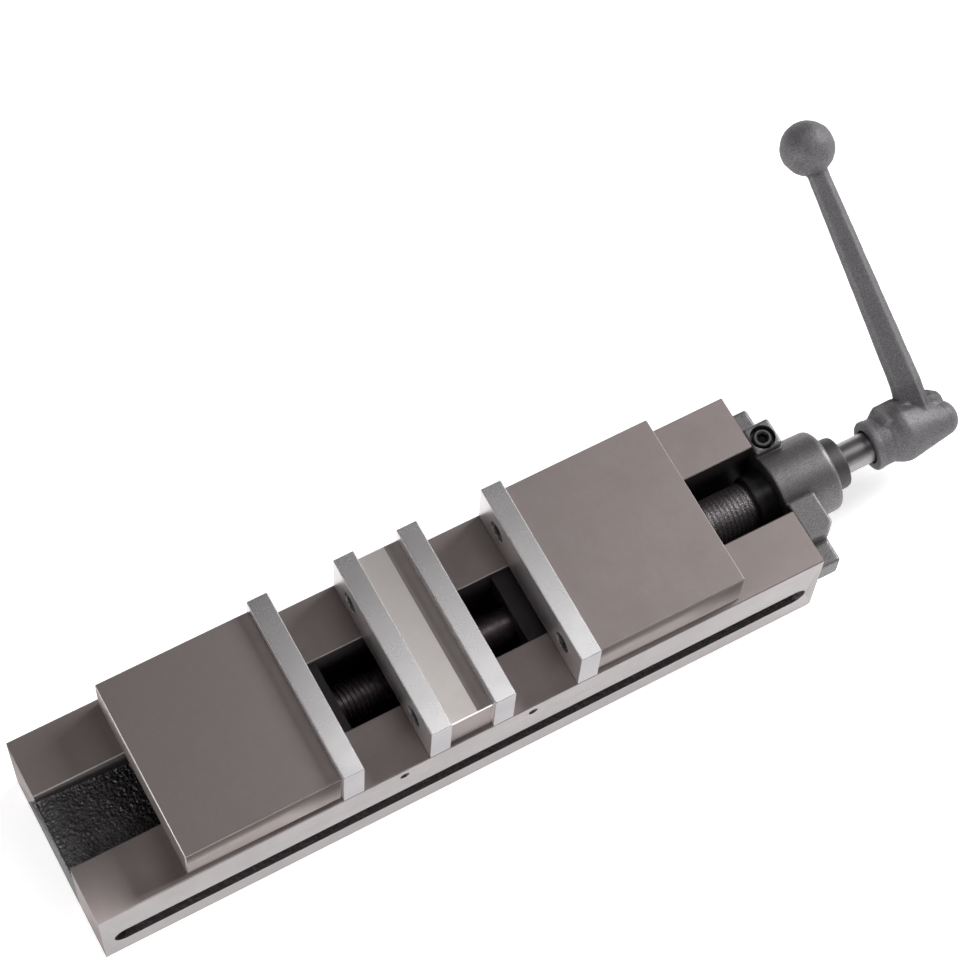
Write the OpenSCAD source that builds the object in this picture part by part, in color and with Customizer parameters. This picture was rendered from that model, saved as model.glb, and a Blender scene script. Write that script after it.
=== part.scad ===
// Two-station self-centering vise: a long bed with a fixed double jaw in the middle and two outer jaws
// that one screw, with thread of both hands, draws in together. Origin: middle of the underside of the
// bed. +X runs along the screw towards the crank, +Z is up.

/* [Bed] */
// Length of the bed
bed_len = 392; // [384:1:430]
// Width of the bed and of the jaw plates
bed_w = 100; // [98:1:120]
// Height of the rails above the base
bed_h = 55; // [54:0.5:62]
// Width of the channel between the rails
channel_w = 39.3; // [39:0.1:41]
// Thickness of iron under the channel
floor_t = 7; // [6:0.5:8]
// Width of the undercut that holds the keepers
undercut_w = 48; // [46:1:49]
// Height of the undercut
undercut_h = 6; // [5:0.5:6.5]
// Broken edge along the rails
bed_edge = 0.6; // [0.3:0.1:1]

/* [Clamp slots] */
// Height of the slot in each side of the bed
slot_h = 13; // [10:0.5:14]
// Height of the lower edge of the slot above the base
slot_z = 15; // [13:0.5:17]
// Depth of the slot
slot_d = 10; // [6:0.5:10.5]
// Iron left between the end of a slot and the end of the bed
slot_land = 6; // [5:0.5:20]

/* [Cast web at the left end] */
// Length of the web
web_len = 54; // [46:1:56]
// Drop of the web below the rails at the end of the bed
web_drop = 9.5; // [6:0.5:12]
// Drop of the web at its inner edge
web_drop_in = 18; // [15:0.5:20]

/* [Stop holes] */
// Tapping diameter of the holes for a work stop
stop_hole_d = 5; // [4:0.1:6]
// Depth of the holes
stop_hole_depth = 12; // [8:0.5:16]
// Depth of the middle of the holes below the rails
stop_hole_drop = 7; // [5:0.5:10]
// Distance of the left hole from the middle
stop_left_x = 36; // [30:0.5:44]
// Distance of the right hole from the middle
stop_right_x = 33.5; // [30:0.5:44]

/* [Jaws] */
// Length of a moving jaw block
jaw_len = 80.5; // [76:0.5:84]
// Height of the jaw blocks above the rails
jaw_h = 24.4; // [22:0.2:28]
// Set-back of the blocks from the sides of the bed
jaw_inset = 2.3; // [1:0.1:4]
// Length of the centre block
centre_len = 23; // [21:0.5:26]
// Distance that each moving jaw is screwed in from its open end
jaw_in = 15; // [0:0.5:48]
// Room between an open jaw and the nose of the bearing housing
open_room = 21.5; // [12:0.5:26]
// Broken edge of the blocks
jaw_edge = 0.5; // [0.2:0.1:1]
// Length of the left tongue
left_tongue_len = 68; // [60:1:70]
// Reach of a tongue past the face of its plate
tongue_reach = 9.5; // [5:0.5:10.5]
// Drop of the bare end of a tongue below the rails
tongue_drop = 3; // [2:0.5:5]

/* [Jaw plates] */
// Thickness of a plate
plate_t = 11; // [10:0.5:13]
// Height of the top of a plate above the rails
plate_h = 30.7; // [29:0.1:34]
// Distance of the plate screws from the middle of the bed
plate_screw_y = 32.4; // [28:0.1:40]
// Height of the plate screws above the rails
plate_screw_z = 15.4; // [14:0.1:17]
// Broken edge of the plates
plate_edge = 0.4; // [0.2:0.1:0.8]

/* [Screw] */
// Height of the screw above the middle of the tongues
screw_rise = 1.1; // [0.6:0.1:1.6]
// Diameter of the left thread
left_thread_d = 20; // [18:0.1:20.5]
// Diameter of the journal in the middle of the screw
middle_d = 21; // [20.8:0.1:22]
// Diameter of the waist between the journal and the right thread
waist_d = 17.6; // [16:0.1:20]
// Diameter of the right thread and of the journal
right_thread_d = 26; // [24:0.1:26.4]
// Lead of both threads
lead = 2.5; // [2:0.1:4]
// Room between the left end of the screw and the cast web
screw_end_room = 8; // [5:0.5:12]
// Diameter of the shaft that carries the crank
shaft_d = 16.2; // [15:0.1:17]
// Distance across the flats of the drive end
drive_af = 14; // [12.5:0.1:14.1]
// Length of the drive end
drive_len = 28; // [22:1:32]

/* [Bearing housing] */
// Diameter of the hub where it meets the bed
hub_d = 44.5; // [43:0.5:48]
// Length of the hub
hub_len = 32.5; // [30:0.5:35]
// Diameter of the nose in the channel
nose_d = 30; // [29:0.5:32]
// Length of the nose
nose_len = 10.5; // [8:0.5:14]
// Bore for the thrust bearings and the gland
bore_d = 34; // [33.8:0.1:36]
// Thickness of the bolt ears
ear_t = 12; // [10:0.5:13]
// Reach of the front ear from the middle
ear_front_y = 49.5; // [48:0.5:50]
// Reach of the back ear from the middle
ear_back_y = 43.5; // [42:0.5:49]
// Height of an ear
ear_h = 15; // [13.5:0.5:18]
// Height of the middle of the ears above the base
ear_z = 35.5; // [33:0.5:38]
// Reach of the front shoulder from the middle
shoulder_y = 37; // [34:0.5:37]
// Thickness of the shoulder and of the screw boss
shoulder_t = 15; // [14:0.5:16]

/* [Gland] */
// Diameter of the cap outside the hub
cap_d = 27.6; // [27:0.2:30]
// Length of the cap outside the hub
cap_len = 9.5; // [8.5:0.5:12]

/* [Crank] */
// Distance from the screw to the ball
crank_r = 150; // [130:1:200]
// Diameter of the ball
ball_d = 28; // [24:0.5:34]
// Angle of the arm above the horizontal at rest
crank_angle = 29; // [0:1:60]
// Distance of the collar of the crank from the gland cap
crank_gap = 17; // [10:0.5:24]
// Diameter of the collar of the crank
collar_d = 26.4; // [24:0.2:28]
// Largest diameter of the crank hub
crank_hub_d = 32; // [30:0.2:34]
// Length of the crank hub
crank_hub_len = 50.5; // [46:0.5:56]
// Width of the arm at the hub
arm_root_w = 17; // [14:0.5:20]
// Width of the arm at the ball
arm_tip_w = 11; // [8:0.5:12]

/* [Hidden] */
$fn = 64;
// Overrun of a cut past the face that it opens
over = 1;
// Radial room of a running fit
run_fit = 0.05;
// Radial room of a bolt in its clearance hole
bolt_room = 0.5;
// Room between flat parts that slide past each other
slide_gap = 0.2;
// Room beside each tongue in the channel
tongue_gap = 0.15;

// Screw sizes: thread diameter, head diameter, head height, key width
m6_d = 6;
m6_head_d = 10;
m6_head_h = 6;
m6_key = 5;
m8_d = 8;
m8_head_d = 13;
m8_head_h = 8;
m8_key = 6;
// Room around and above a sunk head
head_room = 0.5;
// Depth of the key socket as a share of the head height
key_share = 0.5;
// Room at the tip of a screw in a blind hole
tip_room = 1;

half_len = bed_len / 2;
half_w = bed_w / 2;
channel_half = channel_w / 2;
centre_x = centre_len / 2;
centre_face_x = centre_x + plate_t;
nose_x = half_len - nose_len;
block_end_x = nose_x - open_room - jaw_in;
block_x = block_end_x - jaw_len;
plate_x = block_x - plate_t;
tongue_x = plate_x - tongue_reach;
tongue_half = channel_half - tongue_gap;
tongue_z = floor_t + undercut_h - slide_gap;
tongue_top_z = bed_h - tongue_drop;
screw_z = (tongue_z + tongue_top_z) / 2 + screw_rise;
stop_hole_z = bed_h - stop_hole_drop;
jaw_half = half_w - jaw_inset;
plate_seat_z = bed_h + slide_gap;

// A box with all its edges broken, from its low corner
module eased_box(size, edge) {
    intersection() {
        translate([size.x, 0, 0]) rotate([0, -90, 0]) linear_extrude(size.x)
            eased_rect(size.z, size.y, edge);
        translate([0, size.y, 0]) rotate([90, 0, 0]) linear_extrude(size.y)
            eased_rect(size.x, size.z, edge);
        linear_extrude(size.z) eased_rect(size.x, size.y, edge);
    }
}

module eased_rect(w, h, edge) {
    polygon([
        [edge, 0], [w - edge, 0], [w, edge], [w, h - edge],
        [w - edge, h], [edge, h], [0, h - edge], [0, edge]
    ]);
}

// A cylinder along X from x0 to x1 at the height of the screw
module rod_x(d, x0, x1) {
    translate([x0, 0, screw_z]) rotate([0, 90, 0]) cylinder(d = d, h = x1 - x0);
}

module ring_x(d_out, d_in, x0, x1) {
    difference() {
        rod_x(d_out, x0, x1);
        rod_x(d_in, x0 - over, x1 + over);
    }
}

// A cap screw whose head seats at the origin and whose thread points down
module cap_screw(d, len, head_d, head_h, key) {
    key_d = key / cos(30);
    translate([0, 0, -len]) cylinder(d = d, h = len);
    difference() {
        cylinder(d = head_d, h = head_h);
        translate([0, 0, head_h * (1 - key_share)]) cylinder(d = key_d, h = head_h, $fn = 6);
    }
}

module m6_screw(len) {
    cap_screw(m6_d, len, m6_head_d, m6_head_h, m6_key);
}

// The hole of a cap screw: a sunk seat above the origin, a clearance hole below it and a tapped hole
module sunk_hole(d, head_d, head_up, clear_len) {
    translate([0, 0, -clear_len - over]) cylinder(d = d + 2 * bolt_room, h = clear_len + 2 * over);
    cylinder(d = head_d + 2 * head_room, h = head_up + over);
}

/* Bed */

web_mid_share = 0.44;
web_in_share = 0.955;
web_mid_drop_share = 0.4;
web_mid_drop = web_drop + (web_drop_in - web_drop) * web_mid_drop_share;
web_x = -half_len + web_len;

centre_bolt_y = 33;
centre_bolt_seat_z = 10;
centre_bolt_grip = 10;
centre_bolt_len = bed_h - centre_bolt_seat_z + centre_bolt_grip;
housing_bolt_len = 20;
ear_bolt_depth = m6_head_h + head_room;
ear_bolt_inset = 6.25;
ear_bolt_seat_x = half_len + ear_t - ear_bolt_depth;
ear_bolt_ys = [-(ear_front_y - ear_bolt_inset), ear_back_y - ear_bolt_inset];

module bed_section() {
    difference() {
        translate([-half_w, 0]) eased_rect(bed_w, bed_h, bed_edge);
        polygon([
            [-channel_half - bed_edge - over, bed_h + over],
            [-channel_half, bed_h - bed_edge],
            [channel_half, bed_h - bed_edge],
            [channel_half + bed_edge + over, bed_h + over]
        ]);
    }
}

module side_slot() {
    slot_x = half_len - slot_land - slot_h / 2;
    mid_z = slot_z + slot_h / 2;
    for (x = [-slot_x, slot_x])
        translate([x, -half_w - over, mid_z]) rotate([-90, 0, 0])
            cylinder(d = slot_h, h = slot_d + over);
    translate([-slot_x, -half_w - over, slot_z]) cube([2 * slot_x, slot_d + over, slot_h]);
}

module web_cut() {
    translate([0, channel_half, 0]) rotate([90, 0, 0]) linear_extrude(channel_w) polygon([
        [-half_len - over, bed_h - web_drop],
        [-half_len, bed_h - web_drop],
        [-half_len + web_len * web_mid_share, bed_h - web_mid_drop],
        [-half_len + web_len * web_in_share, bed_h - web_drop_in],
        [web_x + over, floor_t + undercut_h],
        [web_x + over, bed_h + over],
        [-half_len - over, bed_h + over]
    ]);
}

module bed() {
    color("rosybrown") difference() {
        translate([half_len, 0, 0]) rotate([90, 0, -90]) linear_extrude(bed_len) bed_section();
        web_cut();
        translate([web_x, -channel_half, floor_t])
            cube([bed_len, channel_w, bed_h]);
        translate([web_x, -undercut_w / 2, floor_t])
            cube([bed_len, undercut_w, undercut_h]);
        side_slot();
        mirror([0, 1, 0]) side_slot();
        for (x = [-stop_left_x, stop_right_x])
            translate([x, -half_w - over, stop_hole_z]) rotate([-90, 0, 0])
                cylinder(d = stop_hole_d, h = stop_hole_depth + over);
        for (y = [-centre_bolt_y, centre_bolt_y])
            translate([0, y, centre_bolt_seat_z]) mirror([0, 0, 1])
                sunk_hole(m8_d, m8_head_d, centre_bolt_seat_z, bed_h - centre_bolt_seat_z);
        for (y = ear_bolt_ys)
            translate([ear_bolt_seat_x - housing_bolt_len - tip_room, y, ear_z]) rotate([0, 90, 0])
                cylinder(d = m6_d + 2 * run_fit, h = housing_bolt_len + tip_room);
    }
}

/* Centre jaw */

centre_tongue_edge = 0.5;
bush_d = 28;
plate_screw_depth = m6_head_h + head_room;
centre_screw_len = 12;

// The tapped holes for the screws of one plate, in a block whose face is at x0, into +X
module plate_screw_holes(x0, len) {
    for (y = [-plate_screw_y, plate_screw_y])
        translate([x0 - over, y, bed_h + plate_screw_z]) rotate([0, 90, 0])
            cylinder(d = m6_d + 2 * run_fit, h = len + tip_room + over);
}

module centre_jaw() {
    thread_len = centre_screw_len - (plate_t - plate_screw_depth);
    color("tan") difference() {
        union() {
            translate([-centre_x, -jaw_half, bed_h])
                eased_box([centre_len, 2 * jaw_half, jaw_h], jaw_edge);
            translate([-centre_x + centre_tongue_edge, -channel_half + run_fit, tongue_z])
                cube([
                    centre_len - 2 * centre_tongue_edge, channel_w - 2 * run_fit,
                    bed_h - tongue_z + jaw_edge
                ]);
        }
        rod_x(bush_d, -centre_x - over, centre_x + over);
        for (side = [0, 1]) mirror([side, 0, 0]) plate_screw_holes(-centre_x, thread_len);
        for (y = [-centre_bolt_y, centre_bolt_y])
            translate([0, y, bed_h - over])
                cylinder(d = m8_d + 2 * run_fit, h = centre_bolt_grip + tip_room + over);
    }
}

// A plate with its sunk face at x = 0 and its back at x = plate_t
module jaw_plate() {
    plate_top = plate_h - slide_gap;
    difference() {
        translate([0, -half_w, plate_seat_z]) eased_box([plate_t, bed_w, plate_top], plate_edge);
        for (y = [-plate_screw_y, plate_screw_y])
            translate([plate_screw_depth, y, bed_h + plate_screw_z]) rotate([0, -90, 0])
                sunk_hole(m6_d, m6_head_d, plate_screw_depth, plate_t - plate_screw_depth);
    }
}

module plate_screws(len) {
    for (y = [-plate_screw_y, plate_screw_y])
        translate([plate_screw_depth, y, bed_h + plate_screw_z]) rotate([0, -90, 0]) m6_screw(len);
}

module centre_plate_left() {
    color("lightgray") translate([-centre_face_x, 0, 0]) jaw_plate();
}

module centre_plate_right() {
    color("lightgray") mirror([1, 0, 0]) translate([-centre_face_x, 0, 0]) jaw_plate();
}

module centre_plate_screws() {
    color("dimgray") for (side = [0, 1]) mirror([side, 0, 0])
        translate([-centre_face_x, 0, 0]) plate_screws(centre_screw_len);
}

module centre_jaw_bolts() {
    color("dimgray") for (y = [-centre_bolt_y, centre_bolt_y])
        translate([0, y, centre_bolt_seat_z]) mirror([0, 0, 1])
            cap_screw(m8_d, centre_bolt_len, m8_head_d, m8_head_h, m8_key);
}

module centre_bush() {
    bush_x = centre_x - centre_tongue_edge;
    color("peru") ring_x(bush_d, middle_d + 2 * run_fit, -bush_x, bush_x);
}

/* Moving jaws */

jaw_screw_len = 16;
left_nut_d = 30;
right_nut_d = 31.5;
nut_len = 38;
nut_recess = 1;
thread_room = 0.5;
grub_d = 5;
grub_sink = 0.4;
grub_bite = 1.6;
keeper_inset = 8;
keeper_gap = 0.3;
keeper_t = tongue_z - floor_t - keeper_gap;
keeper_screw_d = 5;
keeper_head_d = 9.6;
keeper_head_h = 2.6;
keeper_screw_len = 14;
keeper_screw_y = 15.2;
keeper_screw_inset = 10;
keeper_key = 3;
keeper_key_depth = 1.4;

left_nut_x = tongue_x + nut_recess;
right_nut_x = block_end_x - nut_recess - nut_len;
left_tongue_end_x = tongue_x + left_tongue_len;

// The blocks are drawn with the plate on the left side, as the right jaw has it
module jaw_body(tongue_end_x) {
    difference() {
        union() {
            translate([block_x, -jaw_half, bed_h])
                eased_box([jaw_len, 2 * jaw_half, jaw_h], jaw_edge);
            translate([tongue_x, -tongue_half, tongue_z])
                cube([tongue_end_x - tongue_x, 2 * tongue_half, tongue_top_z - tongue_z]);
            translate([block_x + jaw_edge, -tongue_half, tongue_top_z - over])
                cube([
                    tongue_end_x - block_x - 2 * jaw_edge, 2 * tongue_half,
                    bed_h - tongue_top_z + over + jaw_edge
                ]);
        }
        plate_screw_holes(block_x, jaw_screw_len - (plate_t - plate_screw_depth));
        for (x = keeper_screw_xs(tongue_end_x), y = [-keeper_screw_y, keeper_screw_y])
            translate([x, y, tongue_z - over])
                cylinder(
                    d = keeper_screw_d + 2 * run_fit,
                    h = keeper_screw_len - keeper_t + tip_room + over
                );
    }
}

function keeper_screw_xs(tongue_end_x) = [
    tongue_x + keeper_inset + keeper_screw_inset,
    tongue_end_x - keeper_inset - keeper_screw_inset
];

module grub_holes(nut_x) {
    translate([nut_x + nut_len / 2, 0, screw_z]) for (side = [-1, 1]) rotate([side * 90, 0, 0])
        cylinder(d = grub_d + 2 * run_fit, h = channel_w);
}

module left_jaw() {
    color("rosybrown") mirror([1, 0, 0]) difference() {
        jaw_body(left_tongue_end_x);
        rod_x(left_nut_d + 2 * run_fit, tongue_x - over, left_nut_x + nut_len);
        rod_x(left_thread_d + 2 * thread_room, tongue_x, left_tongue_end_x + over);
        grub_holes(left_nut_x);
    }
}

module right_jaw() {
    color("rosybrown") difference() {
        jaw_body(block_end_x);
        rod_x(right_nut_d + 2 * run_fit, right_nut_x, block_end_x + over);
        rod_x(middle_d + 2 * thread_room, tongue_x - over, block_end_x);
        rod_x(right_thread_d + 2 * thread_room, plate_x - thread_room, block_end_x);
        grub_holes(right_nut_x);
    }
}

module nut(nut_d, thread_d, nut_x) {
    difference() {
        ring_x(nut_d, thread_d + 2 * run_fit, nut_x, nut_x + nut_len);
        translate([nut_x + nut_len / 2, 0, screw_z]) for (side = [-1, 1]) rotate([side * 90, 0, 0])
            translate([0, 0, nut_d / 2 - grub_bite])
                cylinder(d = grub_d + 2 * run_fit, h = channel_w);
    }
}

module nut_screws(nut_d, nut_x) {
    tip_r = nut_d / 2 - grub_bite;
    grub_len = tongue_half - grub_sink - tip_r;
    translate([nut_x + nut_len / 2, 0, screw_z]) for (side = [-1, 1]) rotate([side * 90, 0, 0])
        translate([0, 0, tip_r]) difference() {
            cylinder(d = grub_d, h = grub_len);
            translate([0, 0, grub_len * key_share])
                cylinder(d = grub_d * key_share / cos(30), h = grub_len, $fn = 6);
        }
}

module keeper(tongue_end_x) {
    keeper_half = undercut_w / 2 - slide_gap;
    keeper_len = tongue_end_x - tongue_x - 2 * keeper_inset;
    difference() {
        translate([tongue_x + keeper_inset, -keeper_half, tongue_z - keeper_t])
            cube([keeper_len, 2 * keeper_half, keeper_t]);
        for (x = keeper_screw_xs(tongue_end_x), y = [-keeper_screw_y, keeper_screw_y])
            translate([x, y, tongue_z - keeper_t]) {
                translate([0, 0, -over]) cylinder(d = keeper_screw_d + 2 * run_fit, h = keeper_t + 2 * over);
                cylinder(d1 = keeper_head_d + 2 * run_fit, d2 = keeper_screw_d + 2 * run_fit, h = keeper_head_h);
            }
    }
}

module keeper_screws(tongue_end_x) {
    for (x = keeper_screw_xs(tongue_end_x), y = [-keeper_screw_y, keeper_screw_y])
        translate([x, y, tongue_z - keeper_t]) difference() {
            union() {
                cylinder(d1 = keeper_head_d, d2 = keeper_screw_d, h = keeper_head_h);
                cylinder(d = keeper_screw_d, h = keeper_screw_len);
            }
            translate([0, 0, -over])
                cylinder(d = keeper_key / cos(30), h = keeper_key_depth + over, $fn = 6);
        }
}

module left_plate() {
    color("lightgray") mirror([1, 0, 0]) translate([plate_x, 0, 0]) jaw_plate();
}

module right_plate() {
    color("lightgray") translate([plate_x, 0, 0]) jaw_plate();
}

module left_plate_screws() {
    color("dimgray") mirror([1, 0, 0]) translate([plate_x, 0, 0]) plate_screws(jaw_screw_len);
}

module right_plate_screws() {
    color("dimgray") translate([plate_x, 0, 0]) plate_screws(jaw_screw_len);
}

module left_nut() {
    color("peru") mirror([1, 0, 0]) nut(left_nut_d, left_thread_d, left_nut_x);
}

module right_nut() {
    color("peru") nut(right_nut_d, right_thread_d, right_nut_x);
}

module left_nut_screws() {
    color("dimgray") mirror([1, 0, 0]) nut_screws(left_nut_d, left_nut_x);
}

module right_nut_screws() {
    color("dimgray") nut_screws(right_nut_d, right_nut_x);
}

module left_keeper() {
    color("gray") mirror([1, 0, 0]) keeper(left_tongue_end_x);
}

module right_keeper() {
    color("gray") keeper(block_end_x);
}

module left_keeper_screws() {
    color("dimgray") mirror([1, 0, 0]) keeper_screws(left_tongue_end_x);
}

module right_keeper_screws() {
    color("dimgray") keeper_screws(block_end_x);
}

/* Screw */

journal_reach = 2.2;
journal_x = centre_x + journal_reach;
left_thread_end_x = -web_x - screw_end_room;
right_thread_x = plate_x - thread_room + jaw_in;
thread_depth_share = 0.5;
crest_share = 0.35;
root_share = 0.35;
chamber_wall = 4;
chamber_x = half_len + chamber_wall;
washer_t = 1;
roller_d = 2;
bearing_t = 2 * washer_t + roller_d;
collar_t = 6;
collar_x = chamber_x + bearing_t;
collar_end_x = collar_x + collar_t;
gland_x = collar_end_x + bearing_t;
hub_end_x = half_len + hub_len;
cap_end_x = hub_end_x + cap_len;
crank_x = cap_end_x + crank_gap;
mouth_len = 8;
socket_x = crank_x + mouth_len;
collar_room = 0.4;
thrust_collar_d = bore_d - 2 * collar_room;
nose_gap = 2;

// A screw thread drawn as rings, from x0 towards +X
module thread_x(d, x0, x1) {
    depth = lead * thread_depth_share;
    slope = (1 - crest_share - root_share) / 2;
    turns = floor((x1 - x0) / lead);
    translate([x0, 0, screw_z]) rotate([0, 90, 0]) rotate_extrude() polygon([
        [0, 0],
        for (i = [0:turns - 1]) each [
            [d / 2, i * lead],
            [d / 2, (i + crest_share) * lead],
            [d / 2 - depth, (i + crest_share + slope) * lead],
            [d / 2 - depth, (i + 1 - slope) * lead]
        ],
        [d / 2, turns * lead],
        [d / 2, x1 - x0],
        [0, x1 - x0]
    ]);
}

module lead_screw() {
    thread_end_x = nose_x - nose_gap;
    drive_x = socket_x - slide_gap;
    drive_end_x = drive_x + drive_len;
    color("slategray") {
        mirror([1, 0, 0]) thread_x(left_thread_d, journal_x, left_thread_end_x);
        rod_x(middle_d, -journal_x, journal_x);
        rod_x(waist_d, journal_x, right_thread_x);
        thread_x(right_thread_d, right_thread_x, thread_end_x);
        rod_x(right_thread_d, thread_end_x, collar_x);
        rod_x(thrust_collar_d, collar_x, collar_end_x);
        rod_x(shaft_d, collar_end_x, drive_x);
        intersection() {
            rod_x(shaft_d, drive_x, drive_end_x);
            translate([drive_x, 0, screw_z]) rotate([0, 90, 0])
                cylinder(d = drive_af / cos(30), h = drive_len, $fn = 6);
        }
    }
}

/* Bearing housing */

hub_draft = 0.75;
hub_round = 2;
boss_y0 = 15;
boss_y1 = 30;
boss_foot_z = 20;
lock_screw_y = 21.8;
lock_screw_inset = 7.5;
lock_screw_x = half_len + lock_screw_inset;
lock_screw_len = 20;
lock_head_room = 1.5;
lock_seat_z = bed_h - m6_head_h - head_room;
shoulder_foot_z = 20;
shoulder_top_drop = 1;
shoulder_edge = 4;
plate_foot_z = 8;
flange_half = 26;

module hub() {
    tip_r = hub_d / 2 - hub_draft;
    translate([half_len, 0, screw_z]) rotate([0, 90, 0]) rotate_extrude() {
        polygon([
            [0, 0], [hub_d / 2, 0], [tip_r, hub_len - hub_round],
            [tip_r - hub_round, hub_len], [0, hub_len]
        ]);
        translate([tip_r - hub_round, hub_len - hub_round]) circle(hub_round);
    }
}

module ear(y0, y1) {
    translate([half_len, y0, ear_z - ear_h / 2]) cube([ear_t, y1 - y0, ear_h]);
}

module bearing_housing() {
    color("dimgray") difference() {
        union() {
            hub();
            rod_x(nose_d, nose_x, half_len + over);
            ear(-ear_front_y, -shoulder_y + over);
            ear(boss_y1 - over, ear_back_y);
            translate([half_len, -flange_half, plate_foot_z])
                cube([ear_t, 2 * flange_half, screw_z - plate_foot_z]);
            translate([half_len, -shoulder_y, shoulder_foot_z]) linear_extrude(
                bed_h - shoulder_top_drop - shoulder_foot_z
            ) polygon([
                [0, 0], [shoulder_t - shoulder_edge, 0], [shoulder_t, shoulder_edge],
                [shoulder_t, shoulder_y - boss_y0], [0, shoulder_y - boss_y0]
            ]);
            translate([half_len, boss_y0, boss_foot_z])
                cube([shoulder_t, boss_y1 - boss_y0, bed_h - boss_foot_z]);
        }
        rod_x(right_thread_d + 2 * run_fit, nose_x - over, chamber_x + over);
        rod_x(bore_d, chamber_x, hub_end_x + over);
        for (y = ear_bolt_ys)
            translate([ear_bolt_seat_x, y, ear_z]) rotate([0, 90, 0])
                sunk_hole(m6_d, m6_head_d, ear_bolt_depth, ear_t - ear_bolt_depth);
        translate([lock_screw_x, lock_screw_y, lock_seat_z]) {
            cylinder(d = m6_head_d + 2 * lock_head_room, h = bed_h);
            translate([0, 0, -lock_screw_len - tip_room])
                cylinder(d = m6_d + 2 * run_fit, h = bed_h);
        }
    }
}

module housing_bolts() {
    color("dimgray") for (y = ear_bolt_ys)
        translate([ear_bolt_seat_x, y, ear_z]) rotate([0, 90, 0]) m6_screw(housing_bolt_len);
}

module housing_lock_screw() {
    color("dimgray") translate([lock_screw_x, lock_screw_y, lock_seat_z]) m6_screw(lock_screw_len);
}

/* Gland and thrust bearings */

cap_round = 2;
seal_d = 23;
seal_t = 4;
seal_sink = 1.5;

module gland_cap() {
    color("dimgray") difference() {
        union() {
            rod_x(bore_d - 2 * run_fit, gland_x, hub_end_x);
            translate([hub_end_x - over, 0, screw_z]) rotate([0, 90, 0]) rotate_extrude() {
                polygon([
                    [0, 0], [cap_d / 2, 0], [cap_d / 2, cap_len + over - cap_round],
                    [cap_d / 2 - cap_round, cap_len + over], [0, cap_len + over]
                ]);
                translate([cap_d / 2 - cap_round, cap_len + over - cap_round]) circle(cap_round);
            }
        }
        rod_x(shaft_d + 2 * slide_gap, gland_x - over, cap_end_x + over);
        rod_x(seal_d, cap_end_x - seal_sink - seal_t, cap_end_x + over);
    }
}

module shaft_seal() {
    color("black") ring_x(
        seal_d - 2 * run_fit, shaft_d + 2 * run_fit,
        cap_end_x - seal_sink - seal_t, cap_end_x - seal_sink
    );
}

roller_count = 16;
roller_len = 2.2;
roller_room = 0.04;
race_room = 0.1;
cage_room = 0.2;
race_d = bore_d - 2 * race_room;
roller_r = (race_d + right_thread_d) / 4;
cage_t = 1.6;

// Bearing position: low x and shaft diameter
module washers(x0, d_in) {
    ring_x(race_d, d_in + 2 * race_room, x0, x0 + washer_t);
    ring_x(race_d, d_in + 2 * race_room, x0 + washer_t + roller_d, x0 + bearing_t);
}

module around_screw(x) {
    translate([x, 0, screw_z]) for (i = [0:roller_count - 1])
        rotate([i * 360 / roller_count, 0, 0]) children();
}

module cage(x0, d_in) {
    mid_x = x0 + washer_t + roller_d / 2;
    pocket = roller_d + 2 * roller_room;
    pocket_len = roller_len + 2 * roller_room;
    difference() {
        ring_x(race_d - 2 * race_room, d_in + 2 * cage_room, mid_x - cage_t / 2, mid_x + cage_t / 2);
        around_screw(mid_x) translate([-cage_t, -pocket / 2, roller_r - pocket_len / 2])
            cube([2 * cage_t, pocket, pocket_len]);
    }
}

module rollers(x0) {
    around_screw(x0 + washer_t + roller_d / 2) translate([0, 0, roller_r - roller_len / 2])
        cylinder(d = roller_d - roller_room, h = roller_len);
}

module inner_thrust_washers() {
    color("silver") washers(chamber_x, right_thread_d);
}

module outer_thrust_washers() {
    color("silver") washers(collar_end_x, shaft_d);
}

module inner_needle_cage() {
    color("goldenrod") cage(chamber_x, right_thread_d);
}

module outer_needle_cage() {
    color("goldenrod") cage(collar_end_x, shaft_d);
}

module needle_rollers() {
    color("silver") {
        rollers(chamber_x);
        rollers(collar_end_x);
    }
}

/* Crank */

collar_len = 4;
neck_step = 0.4;
neck_d = collar_d - 2 * neck_step;
neck_len = 9;
belly_len = 17.5;
belly_end_len = 20;
crank_round = 7;
end_draft = 2.8;
socket_room = 0.15;
mouth_room = 1.2;
mouth_d = shaft_d + 2 * mouth_room;
drive_room = 2;
arm_x = 32.3;
arm_foot = 8;
arm_flat_share = 0.8;
pad_len = 35;
pad_top = 17;
pad_half = 8;
pad_x = 10;
pad_edge = 4;

// An oval slice of the arm, at a distance from the screw
module arm_slice(w, r) {
    slice_t = 0.1;
    translate([0, r, 0]) rotate([-90, 0, 0]) scale([1, arm_flat_share, 1])
        cylinder(d = w, h = slice_t, $fn = 32);
}

module crank_hub() {
    end_r = crank_hub_d / 2 - end_draft;
    rotate([0, 90, 0]) rotate_extrude() {
        polygon([
            [0, 0], [collar_d / 2, 0], [collar_d / 2, collar_len], [neck_d / 2, collar_len],
            [neck_d / 2, neck_len], [crank_hub_d / 2, belly_len], [crank_hub_d / 2, belly_end_len],
            [end_r, crank_hub_len - crank_round], [end_r - crank_round, crank_hub_len], [0, crank_hub_len]
        ]);
        intersection() {
            translate([end_r - crank_round, crank_hub_len - crank_round]) circle(crank_round);
            square([crank_hub_d, crank_hub_len + over]);
        }
    }
}

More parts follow.
